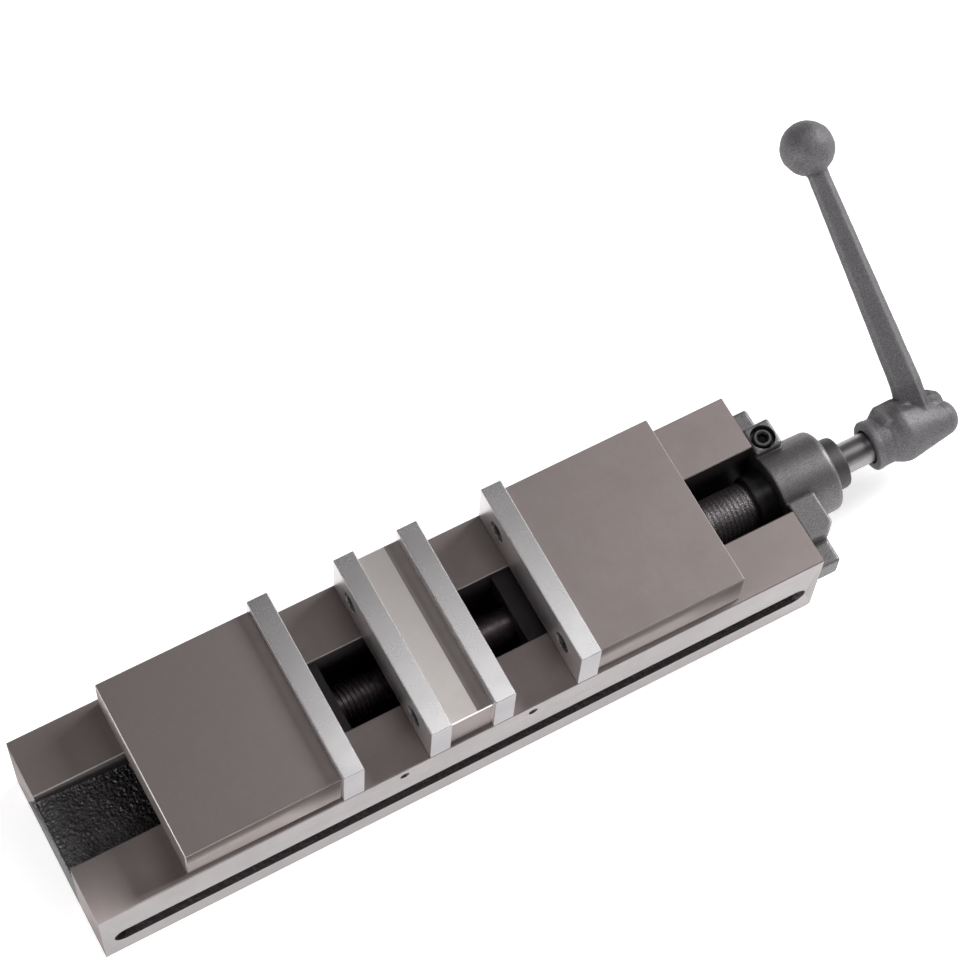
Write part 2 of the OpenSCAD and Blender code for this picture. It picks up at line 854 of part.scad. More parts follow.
module crank() {
    color("dimgray") translate([crank_x, 0, screw_z]) difference() {
        rotate([crank_angle, 0, 0]) {
            crank_hub();
            translate([pad_x, 0, -pad_half]) eased_box([pad_len, pad_top, 2 * pad_half], pad_edge);
            translate([arm_x, 0, 0]) hull() {
                arm_slice(arm_root_w, arm_foot);
                arm_slice(arm_tip_w, crank_r);
            }
            translate([arm_x, crank_r, 0]) sphere(d = ball_d);
        }
        translate([-over, 0, 0]) rotate([0, 90, 0])
            cylinder(d = mouth_d, h = socket_x - crank_x + over);
        rotate([0, 90, 0]) cylinder(
            d = (drive_af + 2 * socket_room) / cos(30),
            h = socket_x - crank_x + drive_len + drive_room, $fn = 6
        );
    }
}

bed();
centre_jaw();
centre_plate_left();
centre_plate_right();
centre_plate_screws();
centre_jaw_bolts();
centre_bush();
left_jaw();
left_plate();
left_plate_screws();
left_nut();
left_nut_screws();
left_keeper();
left_keeper_screws();
right_jaw();
right_plate();
right_plate_screws();
right_nut();
right_nut_screws();
right_keeper();
right_keeper_screws();
lead_screw();
bearing_housing();
housing_bolts();
housing_lock_screw();
gland_cap();
shaft_seal();
inner_thrust_washers();
outer_thrust_washers();
inner_needle_cage();
outer_needle_cage();
needle_rollers();
crank();
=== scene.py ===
import math

import bmesh
import bpy
import numpy
from mathutils import Matrix, Quaternion, Vector, noise


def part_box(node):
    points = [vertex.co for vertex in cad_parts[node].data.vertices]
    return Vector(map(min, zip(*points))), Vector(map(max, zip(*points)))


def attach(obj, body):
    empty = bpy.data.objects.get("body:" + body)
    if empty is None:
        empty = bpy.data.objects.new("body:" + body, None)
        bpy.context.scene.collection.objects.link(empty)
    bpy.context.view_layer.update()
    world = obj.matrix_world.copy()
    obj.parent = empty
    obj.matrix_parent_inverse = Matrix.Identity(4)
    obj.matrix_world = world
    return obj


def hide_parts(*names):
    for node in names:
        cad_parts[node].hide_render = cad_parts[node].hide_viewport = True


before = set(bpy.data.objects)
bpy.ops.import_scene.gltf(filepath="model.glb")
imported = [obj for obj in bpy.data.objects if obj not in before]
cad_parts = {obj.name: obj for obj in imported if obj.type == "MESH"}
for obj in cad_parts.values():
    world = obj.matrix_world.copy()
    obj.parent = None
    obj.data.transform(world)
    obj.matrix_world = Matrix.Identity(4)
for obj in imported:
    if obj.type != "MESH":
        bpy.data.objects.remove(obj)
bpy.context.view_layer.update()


# Camera
# It looks steeply down on the vise from in front and from the left, through a long lens, as the
# photograph does.
EYE = Vector((-0.2799, -0.4643, 1.4365))
AIM = Vector((0.06736, 0.06622, 0.055))
ROLL = math.radians(5.139)
SENSOR, LENS = 36, 115.72
NEAREST, FARTHEST = 0.05, 30

camera = bpy.data.objects.new("camera", bpy.data.cameras.new("camera"))
bpy.context.scene.collection.objects.link(camera)
camera.location = EYE
camera.rotation_mode = "QUATERNION"
camera.rotation_quaternion = (AIM - EYE).to_track_quat("-Z", "Y") @ Quaternion((0, 0, 1), ROLL)
camera.data.sensor_width = SENSOR
camera.data.lens = LENS
camera.data.clip_start = NEAREST
camera.data.clip_end = FARTHEST
bpy.context.scene.camera = camera
bpy.context.scene.view_settings.view_transform = "Standard"


# Floor, backdrop and light
# The vise stands on a white table in a plain studio with a dim, warm ceiling. The main soft lamp is
# high on the right, and others stand on the left and in front. A small, weak one hangs overhead, and
# its edge shades the finely ground tops of the plates.
MM = 0.001
FLOOR_SIZE = 16000
FLOOR_WHITE = (0.93, 0.93, 0.93, 1)
FLOOR_LIFT = 0.6
WHITE = (1, 1, 1, 1)
WALLS, WALLS_END = (0.30, 0.29, 0.29, 1), 0.12
CEILING, CEILING_START = (0.060, 0.052, 0.051, 1), 0.75


def mesh_object(name, shape, *materials):
    """Makes a bmesh in millimetres into an object at the origin, with these materials in its slots."""
    bmesh.ops.scale(shape, verts=shape.verts, vec=(MM, MM, MM))
    mesh = bpy.data.meshes.new(name)
    shape.to_mesh(mesh)
    shape.free()
    for each in materials:
        mesh.materials.append(each)
    made = bpy.data.objects.new(name, mesh)
    bpy.context.scene.collection.objects.link(made)
    return made


def new_material(name):
    """A material, its node tree and its shader."""
    made = bpy.data.materials.new(name)
    made.use_nodes = True
    tree = made.node_tree
    return made, tree, tree.nodes["Principled BSDF"]


def softbox(name, place, aim, size, radiance):
    """A soft lamp of a width and a height, in metres, that glows with this radiance."""
    lamp = bpy.data.lights.new(name, "AREA")
    lamp.shape = "RECTANGLE"
    lamp.size, lamp.size_y = size
    lamp.energy = radiance * 4 * size[0] * size[1]
    made = bpy.data.objects.new(name, lamp)
    bpy.context.scene.collection.objects.link(made)
    made.location = place
    made.rotation_mode = "QUATERNION"
    made.rotation_quaternion = (Vector(aim) - Vector(place)).to_track_quat("-Z", "Y")


# the table looks white to the camera and in the metal, and keeps the shadow of the vise
table = bmesh.new()
bmesh.ops.create_grid(table, x_segments=1, y_segments=1, size=FLOOR_SIZE / 2)
table_white, tree, shader = new_material("table_white")
shader.inputs["Base Color"].default_value = FLOOR_WHITE
shader.inputs["Roughness"].default_value = 0.9
shader.inputs["Specular IOR Level"].default_value = 0.1
shader.inputs["Emission Color"].default_value = WHITE
rays = tree.nodes.new("ShaderNodeLightPath")
looked_at = tree.nodes.new("ShaderNodeMath")
looked_at.operation = "MAXIMUM"
tree.links.new(rays.outputs["Is Camera Ray"], looked_at.inputs[0])
tree.links.new(rays.outputs["Is Glossy Ray"], looked_at.inputs[1])
lift = tree.nodes.new("ShaderNodeMath")
lift.operation = "MULTIPLY"
lift.inputs[1].default_value = FLOOR_LIFT
tree.links.new(looked_at.outputs[0], lift.inputs[0])
tree.links.new(lift.outputs[0], shader.inputs["Emission Strength"])
mesh_object("table", table, table_white)

# the camera sees a white backdrop, and the vise is lit by grey walls and a dim ceiling
world = bpy.data.worlds.new("studio")
world.use_nodes = True
bpy.context.scene.world = world
nodes, links = world.node_tree.nodes, world.node_tree.links
direction = nodes.new("ShaderNodeTexCoord")
height = nodes.new("ShaderNodeSeparateXYZ")
links.new(direction.outputs["Generated"], height.inputs[0])
sky = nodes.new("ShaderNodeValToRGB")
sky.color_ramp.elements[0].position = WALLS_END
sky.color_ramp.elements[0].color = WALLS
sky.color_ramp.elements[1].position = CEILING_START
sky.color_ramp.elements[1].color = CEILING
links.new(height.outputs["Z"], sky.inputs["Fac"])
rays = nodes.new("ShaderNodeLightPath")
backdrop = nodes.new("ShaderNodeMix")
backdrop.data_type = "RGBA"
backdrop.inputs[7].default_value = WHITE
links.new(rays.outputs["Is Camera Ray"], backdrop.inputs["Factor"])
links.new(sky.outputs["Color"], backdrop.inputs[6])
links.new(backdrop.outputs[2], nodes["Background"].inputs["Color"])

softbox("right_softbox", (1.76, 0.25, 1.30), (0.05, 0, 0.05), (0.9, 0.9), 11.5)
softbox("left_softbox", (-1.75, -0.60, 0.75), (-0.05, 0, 0.05), (0.8, 0.8), 7.5)
softbox("edge_softbox", (-1.90, 0.65, 0.42), (-0.1, 0, 0.05), (0.7, 0.45), 2.5)
softbox("front_softbox", (0.0, -1.8, 0.5), (0, 0, 0.05), (1.2, 0.6), 3.2)
softbox("screen", (0.22, 0.06, 0.95), (0.22, 0.06, 0), (0.46, 0.38), 1.2)


# Bed
# One long iron casting. Its outside and the tops of its two rails are ground, and the channel, the
# clamp slots and the low web that joins the rails at the left end are left as cast and painted black.
def corners(node):
    """The lowest and the highest corner of a node, in millimetres."""
    return [[round(place / MM, 3) for place in corner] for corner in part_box(node)]


BED_HALF, BED_SIDE, BED_TOP = corners("bed")[1]
CHANNEL_HALF, CHANNEL_FLOOR = 19.65, 7
RAIL_EDGE = 0.75
UNDERCUT_HALF = 24
SLOT_LOW, SLOT_HIGH, SLOT_FLOOR_Y = 15, 28, 40
# corners of the channel: the rounding at the right and at the left end, and the least height of one
RAIL_END_ROUND = {1: 3, -1: 1.4}
RAIL_CORNER_LEAST = 5
# the paint on the left end: its back line leans, and its front line stands upright
PAINT_BACK_Y, PAINT_FRONT_Y, PAINT_TOP, PAINT_LEAN = 38, -21, 50, Vector((0, 50, 18.35))
# broken edges: how wide, and from which angle on
EASE, CORNER = 0.1, math.radians(40)
# what lies closer than this is in the same place
HAIR = 0.1
# how far a face's normal points along an axis that it mostly or squarely faces
MOSTLY, SQUARE = 0.9, 0.99


def copy_of(node):
    """The solid of a node as one closed shape of flat faces, in millimetres."""
    shape = bmesh.new()
    shape.from_mesh(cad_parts[node].data)
    bmesh.ops.scale(shape, verts=shape.verts, vec=(1 / MM, 1 / MM, 1 / MM))
    bmesh.ops.remove_doubles(shape, verts=shape.verts, dist=0.005)
    bmesh.ops.dissolve_limit(
        shape, angle_limit=math.radians(0.5), verts=shape.verts, edges=shape.edges, delimit={"NORMAL"}
    )
    return shape


def round_edges(shape, edges, width, segments=2):
    """Rounds edges, or with one segment bevels them."""
    bmesh.ops.bevel(
        shape, geom=list(edges), offset=width, offset_type="OFFSET", segments=segments, profile=0.5,
        affect="EDGES", clamp_overlap=True, material=-1
    )


def ease(shape):
    """Breaks the outer edges of a ground piece."""
    round_edges(shape, [
        edge for edge in shape.edges
        if len(edge.link_faces) == 2 and edge.is_convex and edge.calc_face_angle(0) > CORNER
    ], EASE, 1)


def score(shape, faces, place, normal):
    """Cuts these faces along a plane, so that each side can have its own finish."""
    parts = set(faces)
    for face in faces:
        parts.update(face.edges)
        parts.update(face.verts)
    cut = bmesh.ops.bisect_plane(shape, geom=list(parts), dist=0.001, plane_co=place, plane_no=normal)
    return [part for part in cut["geom"] if isinstance(part, bmesh.types.BMFace)]


def smooth_faces(piece, angle=35):
    """Shades round faces smooth and keeps flat ones flat."""
    for face in piece.data.polygons:
        face.use_smooth = True
    piece.data.set_sharp_from_angle(angle=math.radians(angle))
    weighted = piece.modifiers.new("even_normals", "WEIGHTED_NORMAL")
    weighted.keep_sharp = True
    weighted.weight = 100
    return piece


def grains(tree, size, detail=2.0, harsh=0.5, stretch=(1, 1, 1)):
    """Noise in Object coordinates whose grains are this many millimetres across."""
    place = tree.nodes.new("ShaderNodeTexCoord")
    spread = tree.nodes.new("ShaderNodeMapping")
    spread.inputs["Scale"].default_value = stretch
    grain = tree.nodes.new("ShaderNodeTexNoise")
    grain.inputs["Scale"].default_value = 1 / (size * MM)
    grain.inputs["Detail"].default_value = detail
    grain.inputs["Roughness"].default_value = harsh
    tree.links.new(place.outputs["Object"], spread.inputs["Vector"])
    tree.links.new(spread.outputs["Vector"], grain.inputs["Vector"])
    return grain.outputs["Fac"]


def stops(tree, factor, *pairs):
    """A colour ramp over a factor, given as pairs of place and colour or grey."""
    ramp = tree.nodes.new("ShaderNodeValToRGB")
    elements = ramp.color_ramp.elements
    while len(elements) < len(pairs):
        elements.new(0.5)
    for element, (place, tone) in zip(elements, pairs):
        element.position = place
        element.color = (*tone, 1) if isinstance(tone, tuple) else (tone, tone, tone, 1)
    tree.links.new(factor, ramp.inputs["Fac"])
    return ramp.outputs["Color"]


def mixed(tree, factor, first, second, blend="MIX"):
    """Mixes two colours, each a socket or a value; the factor is a socket or a number."""
    mix = tree.nodes.new("ShaderNodeMix")
    mix.data_type = "RGBA"
    mix.blend_type = blend
    for socket, value in ((mix.inputs["Factor"], factor), (mix.inputs[6], first), (mix.inputs[7], second)):
        if isinstance(value, bpy.types.NodeSocket):
            tree.links.new(value, socket)
        else:
            socket.default_value = value
    return mix.outputs[2]


def bumped(tree, shader, *layers):
    """Adds bumps to a shader, each a pair of height socket and depth in millimetres."""
    normal = None
    for height, depth in layers:
        bump = tree.nodes.new("ShaderNodeBump")
        bump.inputs["Distance"].default_value = depth * MM
        tree.links.new(height, bump.inputs["Height"])
        if normal:
            tree.links.new(normal, bump.inputs["Normal"])
        normal = bump.outputs["Normal"]
    tree.links.new(normal, shader.inputs["Normal"])


def ground_metal(name, dark, light, rough, polish=0.03, scratch=0.003, metallic=1.0):
    """Ground metal: faint clouds in its tone and very fine wheel marks in its surface."""
    made, tree, shader = new_material(name)
    clouds = grains(tree, 22, 4, 0.6)
    flecks = grains(tree, 1.6, 3, 0.6, stretch=(1, 0.4, 1))
    tone = stops(tree, clouds, (0.3, dark), (0.7, light))
    tone = mixed(tree, 0.3, tone, stops(tree, flecks, (0.3, 0.46), (0.7, 0.54)), "SOFT_LIGHT")
    gloss = stops(tree, clouds, (0.3, rough + polish), (0.7, rough - polish))
    tree.links.new(tone, shader.inputs["Base Color"])
    tree.links.new(gloss, shader.inputs["Roughness"])
    shader.inputs["Metallic"].default_value = metallic
    if scratch:
        bumped(tree, shader, (grains(tree, 2.4, 2, 0.5), scratch))
    return made


def black_casting(name, tone, rough, depth, size, shine=0.5):
    """Black paint over a sandy casting whose tone follows the bumps of its sand: the hollows are painted
    darker, as shade, and the crests lighter, as painted sparks, while its shine catches the lamps as well.
    """
    made, tree, shader = new_material(name)
    sand = grains(tree, size, 3, 0.6)
    # painted shade in the hollows of the sand and painted sparks on its crests
    shade_in_hollows, sparks_on_crests = tuple(0.6 * part for part in tone), tuple(1.8 * part for part in tone)
    tree.links.new(stops(tree, sand, (0.3, shade_in_hollows), (0.75, sparks_on_crests)), shader.inputs["Base Color"])
    shader.inputs["Roughness"].default_value = rough
    shader.inputs["Specular IOR Level"].default_value = shine
    bumped(tree, shader, (grains(tree, 3.2 * size, 2, 0.5), 2.2 * depth), (sand, depth))
    return made


ground_iron = ground_metal("ground_iron", (0.285, 0.249, 0.243), (0.31, 0.272, 0.265), 0.53, metallic=0.92)
# the front and back faces of the bed: the same ground iron as the rails, painted lighter as the light that
# falls on them
painted_light_side_iron = ground_metal("painted_light_side_iron", (0.38, 0.356, 0.359), (0.41, 0.386, 0.389), 0.5, metallic=0.92)
channel_black = black_casting("channel_black", (0.020, 0.0155, 0.017), 0.45, 0.04, 1.4)
web_black = black_casting("web_black", (0.036, 0.034, 0.036), 0.17, 0.42, 0.8, 1.0)
slot_black = black_casting("slot_black", (0.055, 0.050, 0.052), 0.4, 0.4, 0.8)
GROUND, CHANNEL, WEB, PAINTED_LIGHT_SIDE, SLOT = range(5)

shape = copy_of("bed")
for end, width in RAIL_END_ROUND.items():
    round_edges(shape, [
        edge for edge in shape.edges
        if all(
            abs(v.co.x - end * BED_HALF) < HAIR and abs(abs(v.co.y) - CHANNEL_HALF) < HAIR
            for v in edge.verts
        )
        and abs(edge.verts[0].co.z - edge.verts[1].co.z) > RAIL_CORNER_LEAST
    ], width, 5)
ease(shape)
end_faces = [
    face for face in shape.faces
    if face.normal.x < -SQUARE and face.calc_center_median().x < -BED_HALF + HAIR
]
end_faces = score(shape, end_faces, (0, PAINT_BACK_Y, 0), PAINT_LEAN)
score(shape, end_faces, (0, PAINT_FRONT_Y, 0), (0, 1, 0))
for face in shape.faces:
    x, y, z = face.calc_center_median()
    in_slot = SLOT_LOW - HAIR < z < SLOT_HIGH + HAIR and SLOT_FLOOR_Y - HAIR < abs(y) < BED_SIDE - HAIR
    in_channel = abs(y) < UNDERCUT_HALF + HAIR and CHANNEL_FLOOR - HAIR < z < BED_TOP - RAIL_EDGE
    if x < -BED_HALF + HAIR:
        before_back_line = (y - PAINT_BACK_Y) * PAINT_LEAN.y + z * PAINT_LEAN.z < 0
        painted = PAINT_FRONT_Y < y and z < PAINT_TOP and before_back_line
        face.material_index = CHANNEL if painted else GROUND
    elif x > BED_HALF - HAIR:
        face.material_index = GROUND
    elif in_slot:
        face.material_index = SLOT
    elif in_channel and face.normal.z > -MOSTLY:
        face.material_index = CHANNEL
    # faces that look to the front or the back get the painted light
    elif abs(face.normal.y) > MOSTLY:
        face.material_index = PAINTED_LIGHT_SIDE

# the rough skin of the web, drawn along its outline of places from the left end and heights
WEB_OUTLINE = [Vector((x - BED_HALF, 0, z)) for x, z in (
    (0.1, 43.5), (0.5, 45.4), (23.8, 42.1), (51.4, 37), (53.8, 22)
)]
SKIN_CELLS, SKIN_THICK = (170, 120), 1.2
SKIN_BLUR = 0.012
SKIN_LIFT, SKIN_LEAST = 0.55, 0.05
# along each rail the skin climbs over this width, up to this height
CLIMB_WIDTH, CLIMB = 2, 0.7
# lumps of the sand: how many in a millimetre, and how high
SWELL, LUMP, GRIT = (0.24, 0.3), (0.8, 0.62), (1.7, 0.22)
stretches = [
    ((high - low).normalized(), low, (high - low).length) for low, high in zip(WEB_OUTLINE, WEB_OUTLINE[1:])
]


def web_point(share):
    """The point and outward direction at a share of the web's outline."""
    left = share * sum(length for along, start, length in stretches)
    for along, start, length in stretches:
        if left <= length:
            break
        left -= length
    else:
        left = length
    return start + along * left, Vector((-along.z, 0, along.x))


skin = bmesh.new()
bmesh.ops.create_grid(skin, x_segments=SKIN_CELLS[0], y_segments=SKIN_CELLS[1], size=1)
for v in skin.verts:
    share = (v.co.x + 1) / 2
    spots = [web_point(min(1, max(0, share + step * SKIN_BLUR))) for step in (-2, -1, 0, 1, 2)]
    place = sum((spot[0] for spot in spots), Vector()) / len(spots)
    out = sum((spot[1] for spot in spots), Vector()).normalized()
    place.y = v.co.y * (CHANNEL_HALF + HAIR)
    lump = noise.fractal(place * SWELL[0], 1.0, 2.0, 2) * SWELL[1]
    for pitch, rise in (LUMP, GRIT):
        lump += noise.noise(place * pitch) * rise
    climb = max(0, abs(place.y) - (CHANNEL_HALF - CLIMB_WIDTH)) / CLIMB_WIDTH
    v.co = place + out * (max(SKIN_LEAST, SKIN_LIFT + lump) + CLIMB * climb * climb)
bmesh.ops.recalc_face_normals(skin, faces=skin.faces)
bmesh.ops.solidify(skin, geom=skin.faces[:], thickness=SKIN_THICK)
for face in skin.faces:
    face.material_index = WEB
    face.smooth = True


def add_shape(shape, other):
    """Adds another shape to a shape."""
    mesh = bpy.data.meshes.new("other")
    other.to_mesh(mesh)
    other.free()
    shape.from_mesh(mesh)
    bpy.data.meshes.remove(mesh)


add_shape(shape, skin)
bed = mesh_object("bed_casting", shape, ground_iron, channel_black, web_black, painted_light_side_iron, slot_black)
smooth_faces(bed, 30)
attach(bed, "root")
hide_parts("bed")


# Centre jaw
# A fixed iron block across the rails with a tongue down into the channel, held from below by two
# screws. Its top is milled light and lies deeper than the plates. The darker strip along the right
# plate stands for the shadow that the photograph shows there.
centre_iron = ground_metal("centre_iron", (0.66, 0.625, 0.605), (0.73, 0.69, 0.67), 0.34, metallic=0.8)
# a painted shadow: the darker strip of the centre block's top along the right plate
painted_shadow_iron = ground_metal("painted_shadow_iron", (0.25, 0.222, 0.217), (0.28, 0.25, 0.243), 0.5, metallic=0.6)
# the tongues below the rails: the same iron, painted near black as the shade of the channel
shaded_tongue_iron = ground_metal("shaded_tongue_iron", (0.026, 0.022, 0.025), (0.036, 0.030, 0.034), 0.5, metallic=0.6)
# a painted highlight on the broken edges that face left
painted_highlight_iron = ground_metal("painted_highlight_iron", (0.54, 0.50, 0.49), (0.60, 0.56, 0.55), 0.36)
PAINTED_SHADOW_X = 3.4
# above this, what faces up is the top of a block
BLOCK_Z = BED_TOP + 10
BLOCK, SHADED_TONGUE, PAINTED_HIGHLIGHT_EDGE, PAINTED_SHADOW, BLOCK_SIDE = range(5)


def block_top(shape):
    """The faces of a jaw's top."""
    return [face for face in shape.faces if face.normal.z > SQUARE and face.calc_center_median().z > BLOCK_Z]


def jaw_block(name, node, body, block_iron, shadow_from_x=math.inf):
    """A jaw from its solid: ground above the rails, with painted shade on the tongue below them, a painted
    highlight on its broken edges that face left and, past a place on its top if one is given, a painted
    shadow.
    """
    shape = copy_of(node)
    ease(shape)
    if shadow_from_x < math.inf:
        score(shape, block_top(shape), (shadow_from_x, 0, 0), (1, 0, 0))
    for face in shape.faces:
        middle = face.calc_center_median()
        face.material_index = BLOCK
        # below the rails: painted shade
        if middle.z < BED_TOP - HAIR:
            face.material_index = SHADED_TONGUE
        elif abs(face.normal.y) > MOSTLY and middle.z > BED_TOP:
            face.material_index = BLOCK_SIDE
        # broken edges that face left get the painted highlight
        elif -MOSTLY < face.normal.x < -0.4:
            face.material_index = PAINTED_HIGHLIGHT_EDGE
    # the top beyond that place gets the painted shadow
    for face in block_top(shape):
        if face.calc_center_median().x > shadow_from_x:
            face.material_index = PAINTED_SHADOW
    made = mesh_object(name, shape, block_iron, shaded_tongue_iron, painted_highlight_iron, painted_shadow_iron, ground_iron)
    smooth_faces(made, 30)
    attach(made, body)
    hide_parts(node)


jaw_block("centre_block", "centre_jaw", "root", centre_iron, PAINTED_SHADOW_X)


# Moving jaws
# Two iron blocks, ground all over, that slide on the rails. The tongue of each runs in the channel
# and holds the nut of the screw and, underneath, the keeper.
jaw_block("left_block", "left_jaw", "left_slide", ground_iron)
jaw_block("right_block", "right_jaw", "right_slide", ground_iron)


# Jaw plates
# Four hardened steel plates, ground finest on top, each held to its block by two cap screws in
# counterbores.
plate_steel = ground_metal("plate_steel", (0.76, 0.75, 0.76), (0.84, 0.83, 0.835), 0.27, 0.02, 0)
# the ends and undersides of the plates: the same hardened steel, painted darker as shade
shaded_plate_side = ground_metal("shaded_plate_side", (0.37, 0.355, 0.37), (0.41, 0.395, 0.41), 0.4, 0.02, 0)
plate_face = ground_metal("plate_face", (0.72, 0.69, 0.695), (0.78, 0.75, 0.755), 0.33, 0.02, 0, 0.9)
PLATE_TOP, SHADED_PLATE_SIDE, PLATE_FACE = range(3)
for node, body in (
    ("centre_plate_left", "root"), ("centre_plate_right", "root"),
    ("left_plate", "left_slide"), ("right_plate", "right_slide")
):
    shape = copy_of(node)
    ease(shape)
    for face in shape.faces:
        # what is neither top nor gripping face gets the painted shade
        face.material_index = SHADED_PLATE_SIDE
        if face.normal.z > SQUARE:
            face.material_index = PLATE_TOP
        elif abs(face.normal.x) > SQUARE:
            face.material_index = PLATE_FACE
    plate = smooth_faces(mesh_object(node + "_ground", shape, plate_steel, shaded_plate_side, plate_face), 30)
    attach(plate, body)
    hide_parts(node)


# Cap screws
# Black cap screws with a hexagon socket, a knurled head and a chamfered rim. A small size holds the
# plates and the bearing housing, and a larger one the centre jaw.
black_oxide, tree, shader = new_material("black_oxide")
worn = grains(tree, 1.2, 4, 0.7)
tone = stops(tree, worn, (0.35, (0.10, 0.097, 0.105)), (0.75, (0.24, 0.235, 0.245)))
tree.links.new(tone, shader.inputs["Base Color"])
tree.links.new(stops(tree, worn, (0.3, 0.42), (0.7, 0.30)), shader.inputs["Roughness"])
shader.inputs["Metallic"].default_value = 0.9
bumped(tree, shader, (grains(tree, 0.4, 2, 0.5), 0.01))

# the inside of the socket is painted near black, as the shade in its recess
painted_shade_socket, tree, shader = new_material("painted_shade_socket")
tree.links.new(stops(tree, grains(tree, 1, 2), (0.3, 0.004), (0.7, 0.009)), shader.inputs["Base Color"])
shader.inputs["Roughness"].default_value = 0.6

M6 = {"thread": 6, "head": 10, "head_h": 6, "key": 5}
M8 = {"thread": 8, "head": 13, "head_h": 8, "key": 6}
KNURLS, KNURL_DEPTH, KNURL_SPAN = 36, 0.16, (0.12, 0.8)
TIP_CHAMFER = 0.8


def knurled(radius, around):
    """Every other point of a ring of two points a knurl lies deeper."""
    return radius - KNURL_DEPTH if round(around / (math.pi / KNURLS)) % 2 else radius


def six_sided(radius, around):
    """A ring drawn out to the hexagon around it."""
    return radius / math.cos(around % (math.pi / 3) - math.pi / 6)


def grow_ring(shape, ring, radius, z, outline=None):
    """Extrudes a ring of edges to a radius and a height, and returns the new ring."""
    grown = bmesh.ops.extrude_edge_only(shape, edges=ring)["geom"]
    ring = [part for part in grown if isinstance(part, bmesh.types.BMEdge)]
    for v in {v for edge in ring for v in edge.verts}:
        around = math.atan2(v.co.y, v.co.x)
        reach = outline(radius, around) if outline else radius
        v.co = Vector((math.cos(around), math.sin(around), 0)) * reach + Vector((0, 0, z))
    return ring


def cap_screw(shape, kind, length, seat, towards):
    """Adds a cap screw whose head seats at a point and points towards a direction."""
    made = bmesh.new()
    head_r, thread_r, socket_r, top = kind["head"] / 2, kind["thread"] / 2, kind["key"] / 2, kind["head_h"]
    corner_r = six_sided(socket_r, 0)
    bmesh.ops.create_circle(made, segments=2 * KNURLS, radius=head_r)
    seat_ring = made.edges[:]
    ring = seat_ring
    for share in KNURL_SPAN:
        ring = grow_ring(made, ring, head_r, share * top, knurled)
    for radius, z in ((head_r - 0.5, top - 0.3), (head_r - 0.9, top), (1.14 * corner_r, top)):
        ring = grow_ring(made, ring, radius, z)
    for share, z in ((1, top - 0.8), (1, 0.3 * top), (0.02, 0.2 * top)):
        ring = grow_ring(made, ring, share * socket_r, z, six_sided)
    tip = thread_r - TIP_CHAMFER
    ring = seat_ring
    for radius, z in ((thread_r, 0), (thread_r, TIP_CHAMFER - length), (tip, -length), (0.05, -length)):
        ring = grow_ring(made, ring, radius, z)
    bmesh.ops.holes_fill(made, edges=[edge for edge in made.edges if edge.is_boundary], sides=0)
    bmesh.ops.remove_doubles(made, verts=made.verts, dist=0.001)
    bmesh.ops.recalc_face_normals(made, faces=made.faces)
    for face in made.faces:
        middle = face.calc_center_median()
        in_socket = HAIR < middle.z < top - HAIR and middle.xy.length < 1.2 * corner_r
        face.material_index = 1 if in_socket else 0
    turn = Vector(towards).to_track_quat("Z", "X").to_matrix().to_4x4()
    bmesh.ops.transform(made, matrix=Matrix.Translation(seat) @ turn, verts=made.verts)
    add_shape(shape, made)


CENTRE_FACE_X = corners("centre_plate_right")[1][0]
MOVING_FACE_X = corners("right_plate")[0][0]
PLATE_SCREW_YS, PLATE_SCREW_Z, PLATE_SCREW_SINK = (-32.4, 32.4), BED_TOP + 15.4, 6.5
CENTRE_BOLT_YS, CENTRE_BOLT_SEAT = (-33, 33), 10
HOUSING_BOLT_YS, HOUSING_BOLT_Z, HOUSING_BOLT_SEAT = (-43.25, 37.25), 35.5, BED_HALF + 5.5
LOCK_SCREW = Vector((BED_HALF + 7.5, 21.8, 48.5))
screw_sets = {
    "centre_plate_screws": ("root", M6, 12, [
        ((side * (CENTRE_FACE_X - PLATE_SCREW_SINK), y, PLATE_SCREW_Z), (side, 0, 0))
        for side in (-1, 1) for y in PLATE_SCREW_YS
    ]),
    "left_plate_screws": ("left_slide", M6, 16, [
        ((-MOVING_FACE_X - PLATE_SCREW_SINK, y, PLATE_SCREW_Z), (1, 0, 0)) for y in PLATE_SCREW_YS
    ]),
    "right_plate_screws": ("right_slide", M6, 16, [
        ((MOVING_FACE_X + PLATE_SCREW_SINK, y, PLATE_SCREW_Z), (-1, 0, 0)) for y in PLATE_SCREW_YS
    ]),
    "centre_jaw_bolts": ("root", M8, 55, [((0, y, CENTRE_BOLT_SEAT), (0, 0, -1)) for y in CENTRE_BOLT_YS]),
    "housing_bolts": ("root", M6, 20, [
        ((HOUSING_BOLT_SEAT, y, HOUSING_BOLT_Z), (1, 0, 0)) for y in HOUSING_BOLT_YS
    ]),
    "housing_lock_screw": ("root", M6, 20, [(LOCK_SCREW, (0, 0, 1))]),
}
for node, (body, kind, length, places) in screw_sets.items():
    shape = bmesh.new()
    for seat, towards in places:
        cap_screw(shape, kind, length, seat, towards)
    screws = smooth_faces(mesh_object(node + "_black", shape, black_oxide, painted_shade_socket), 28)
    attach(screws, body)
    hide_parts(node)


# Nuts, keepers and their screws
# Bronze nuts of both hands sit in the tongues, each between two grub screws, and steel keepers are
# screwed under the tongues. A bronze bush in the centre jaw steadies the middle of the screw.
def refinish(finish, *nodes):
    """Gives the solids of these nodes a finish."""
    for node in nodes:
        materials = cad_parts[node].data.materials
        materials.clear()
        materials.append(finish)


bronze = ground_metal("bronze", (0.42, 0.26, 0.11), (0.55, 0.36, 0.17), 0.34)
keeper_steel = ground_metal("keeper_steel", (0.34, 0.34, 0.35), (0.42, 0.42, 0.43), 0.38)
refinish(bronze, "left_nut", "right_nut", "centre_bush")
refinish(keeper_steel, "left_keeper", "right_keeper")
refinish(black_oxide, "left_nut_screws", "right_nut_screws", "left_keeper_screws", "right_keeper_screws")


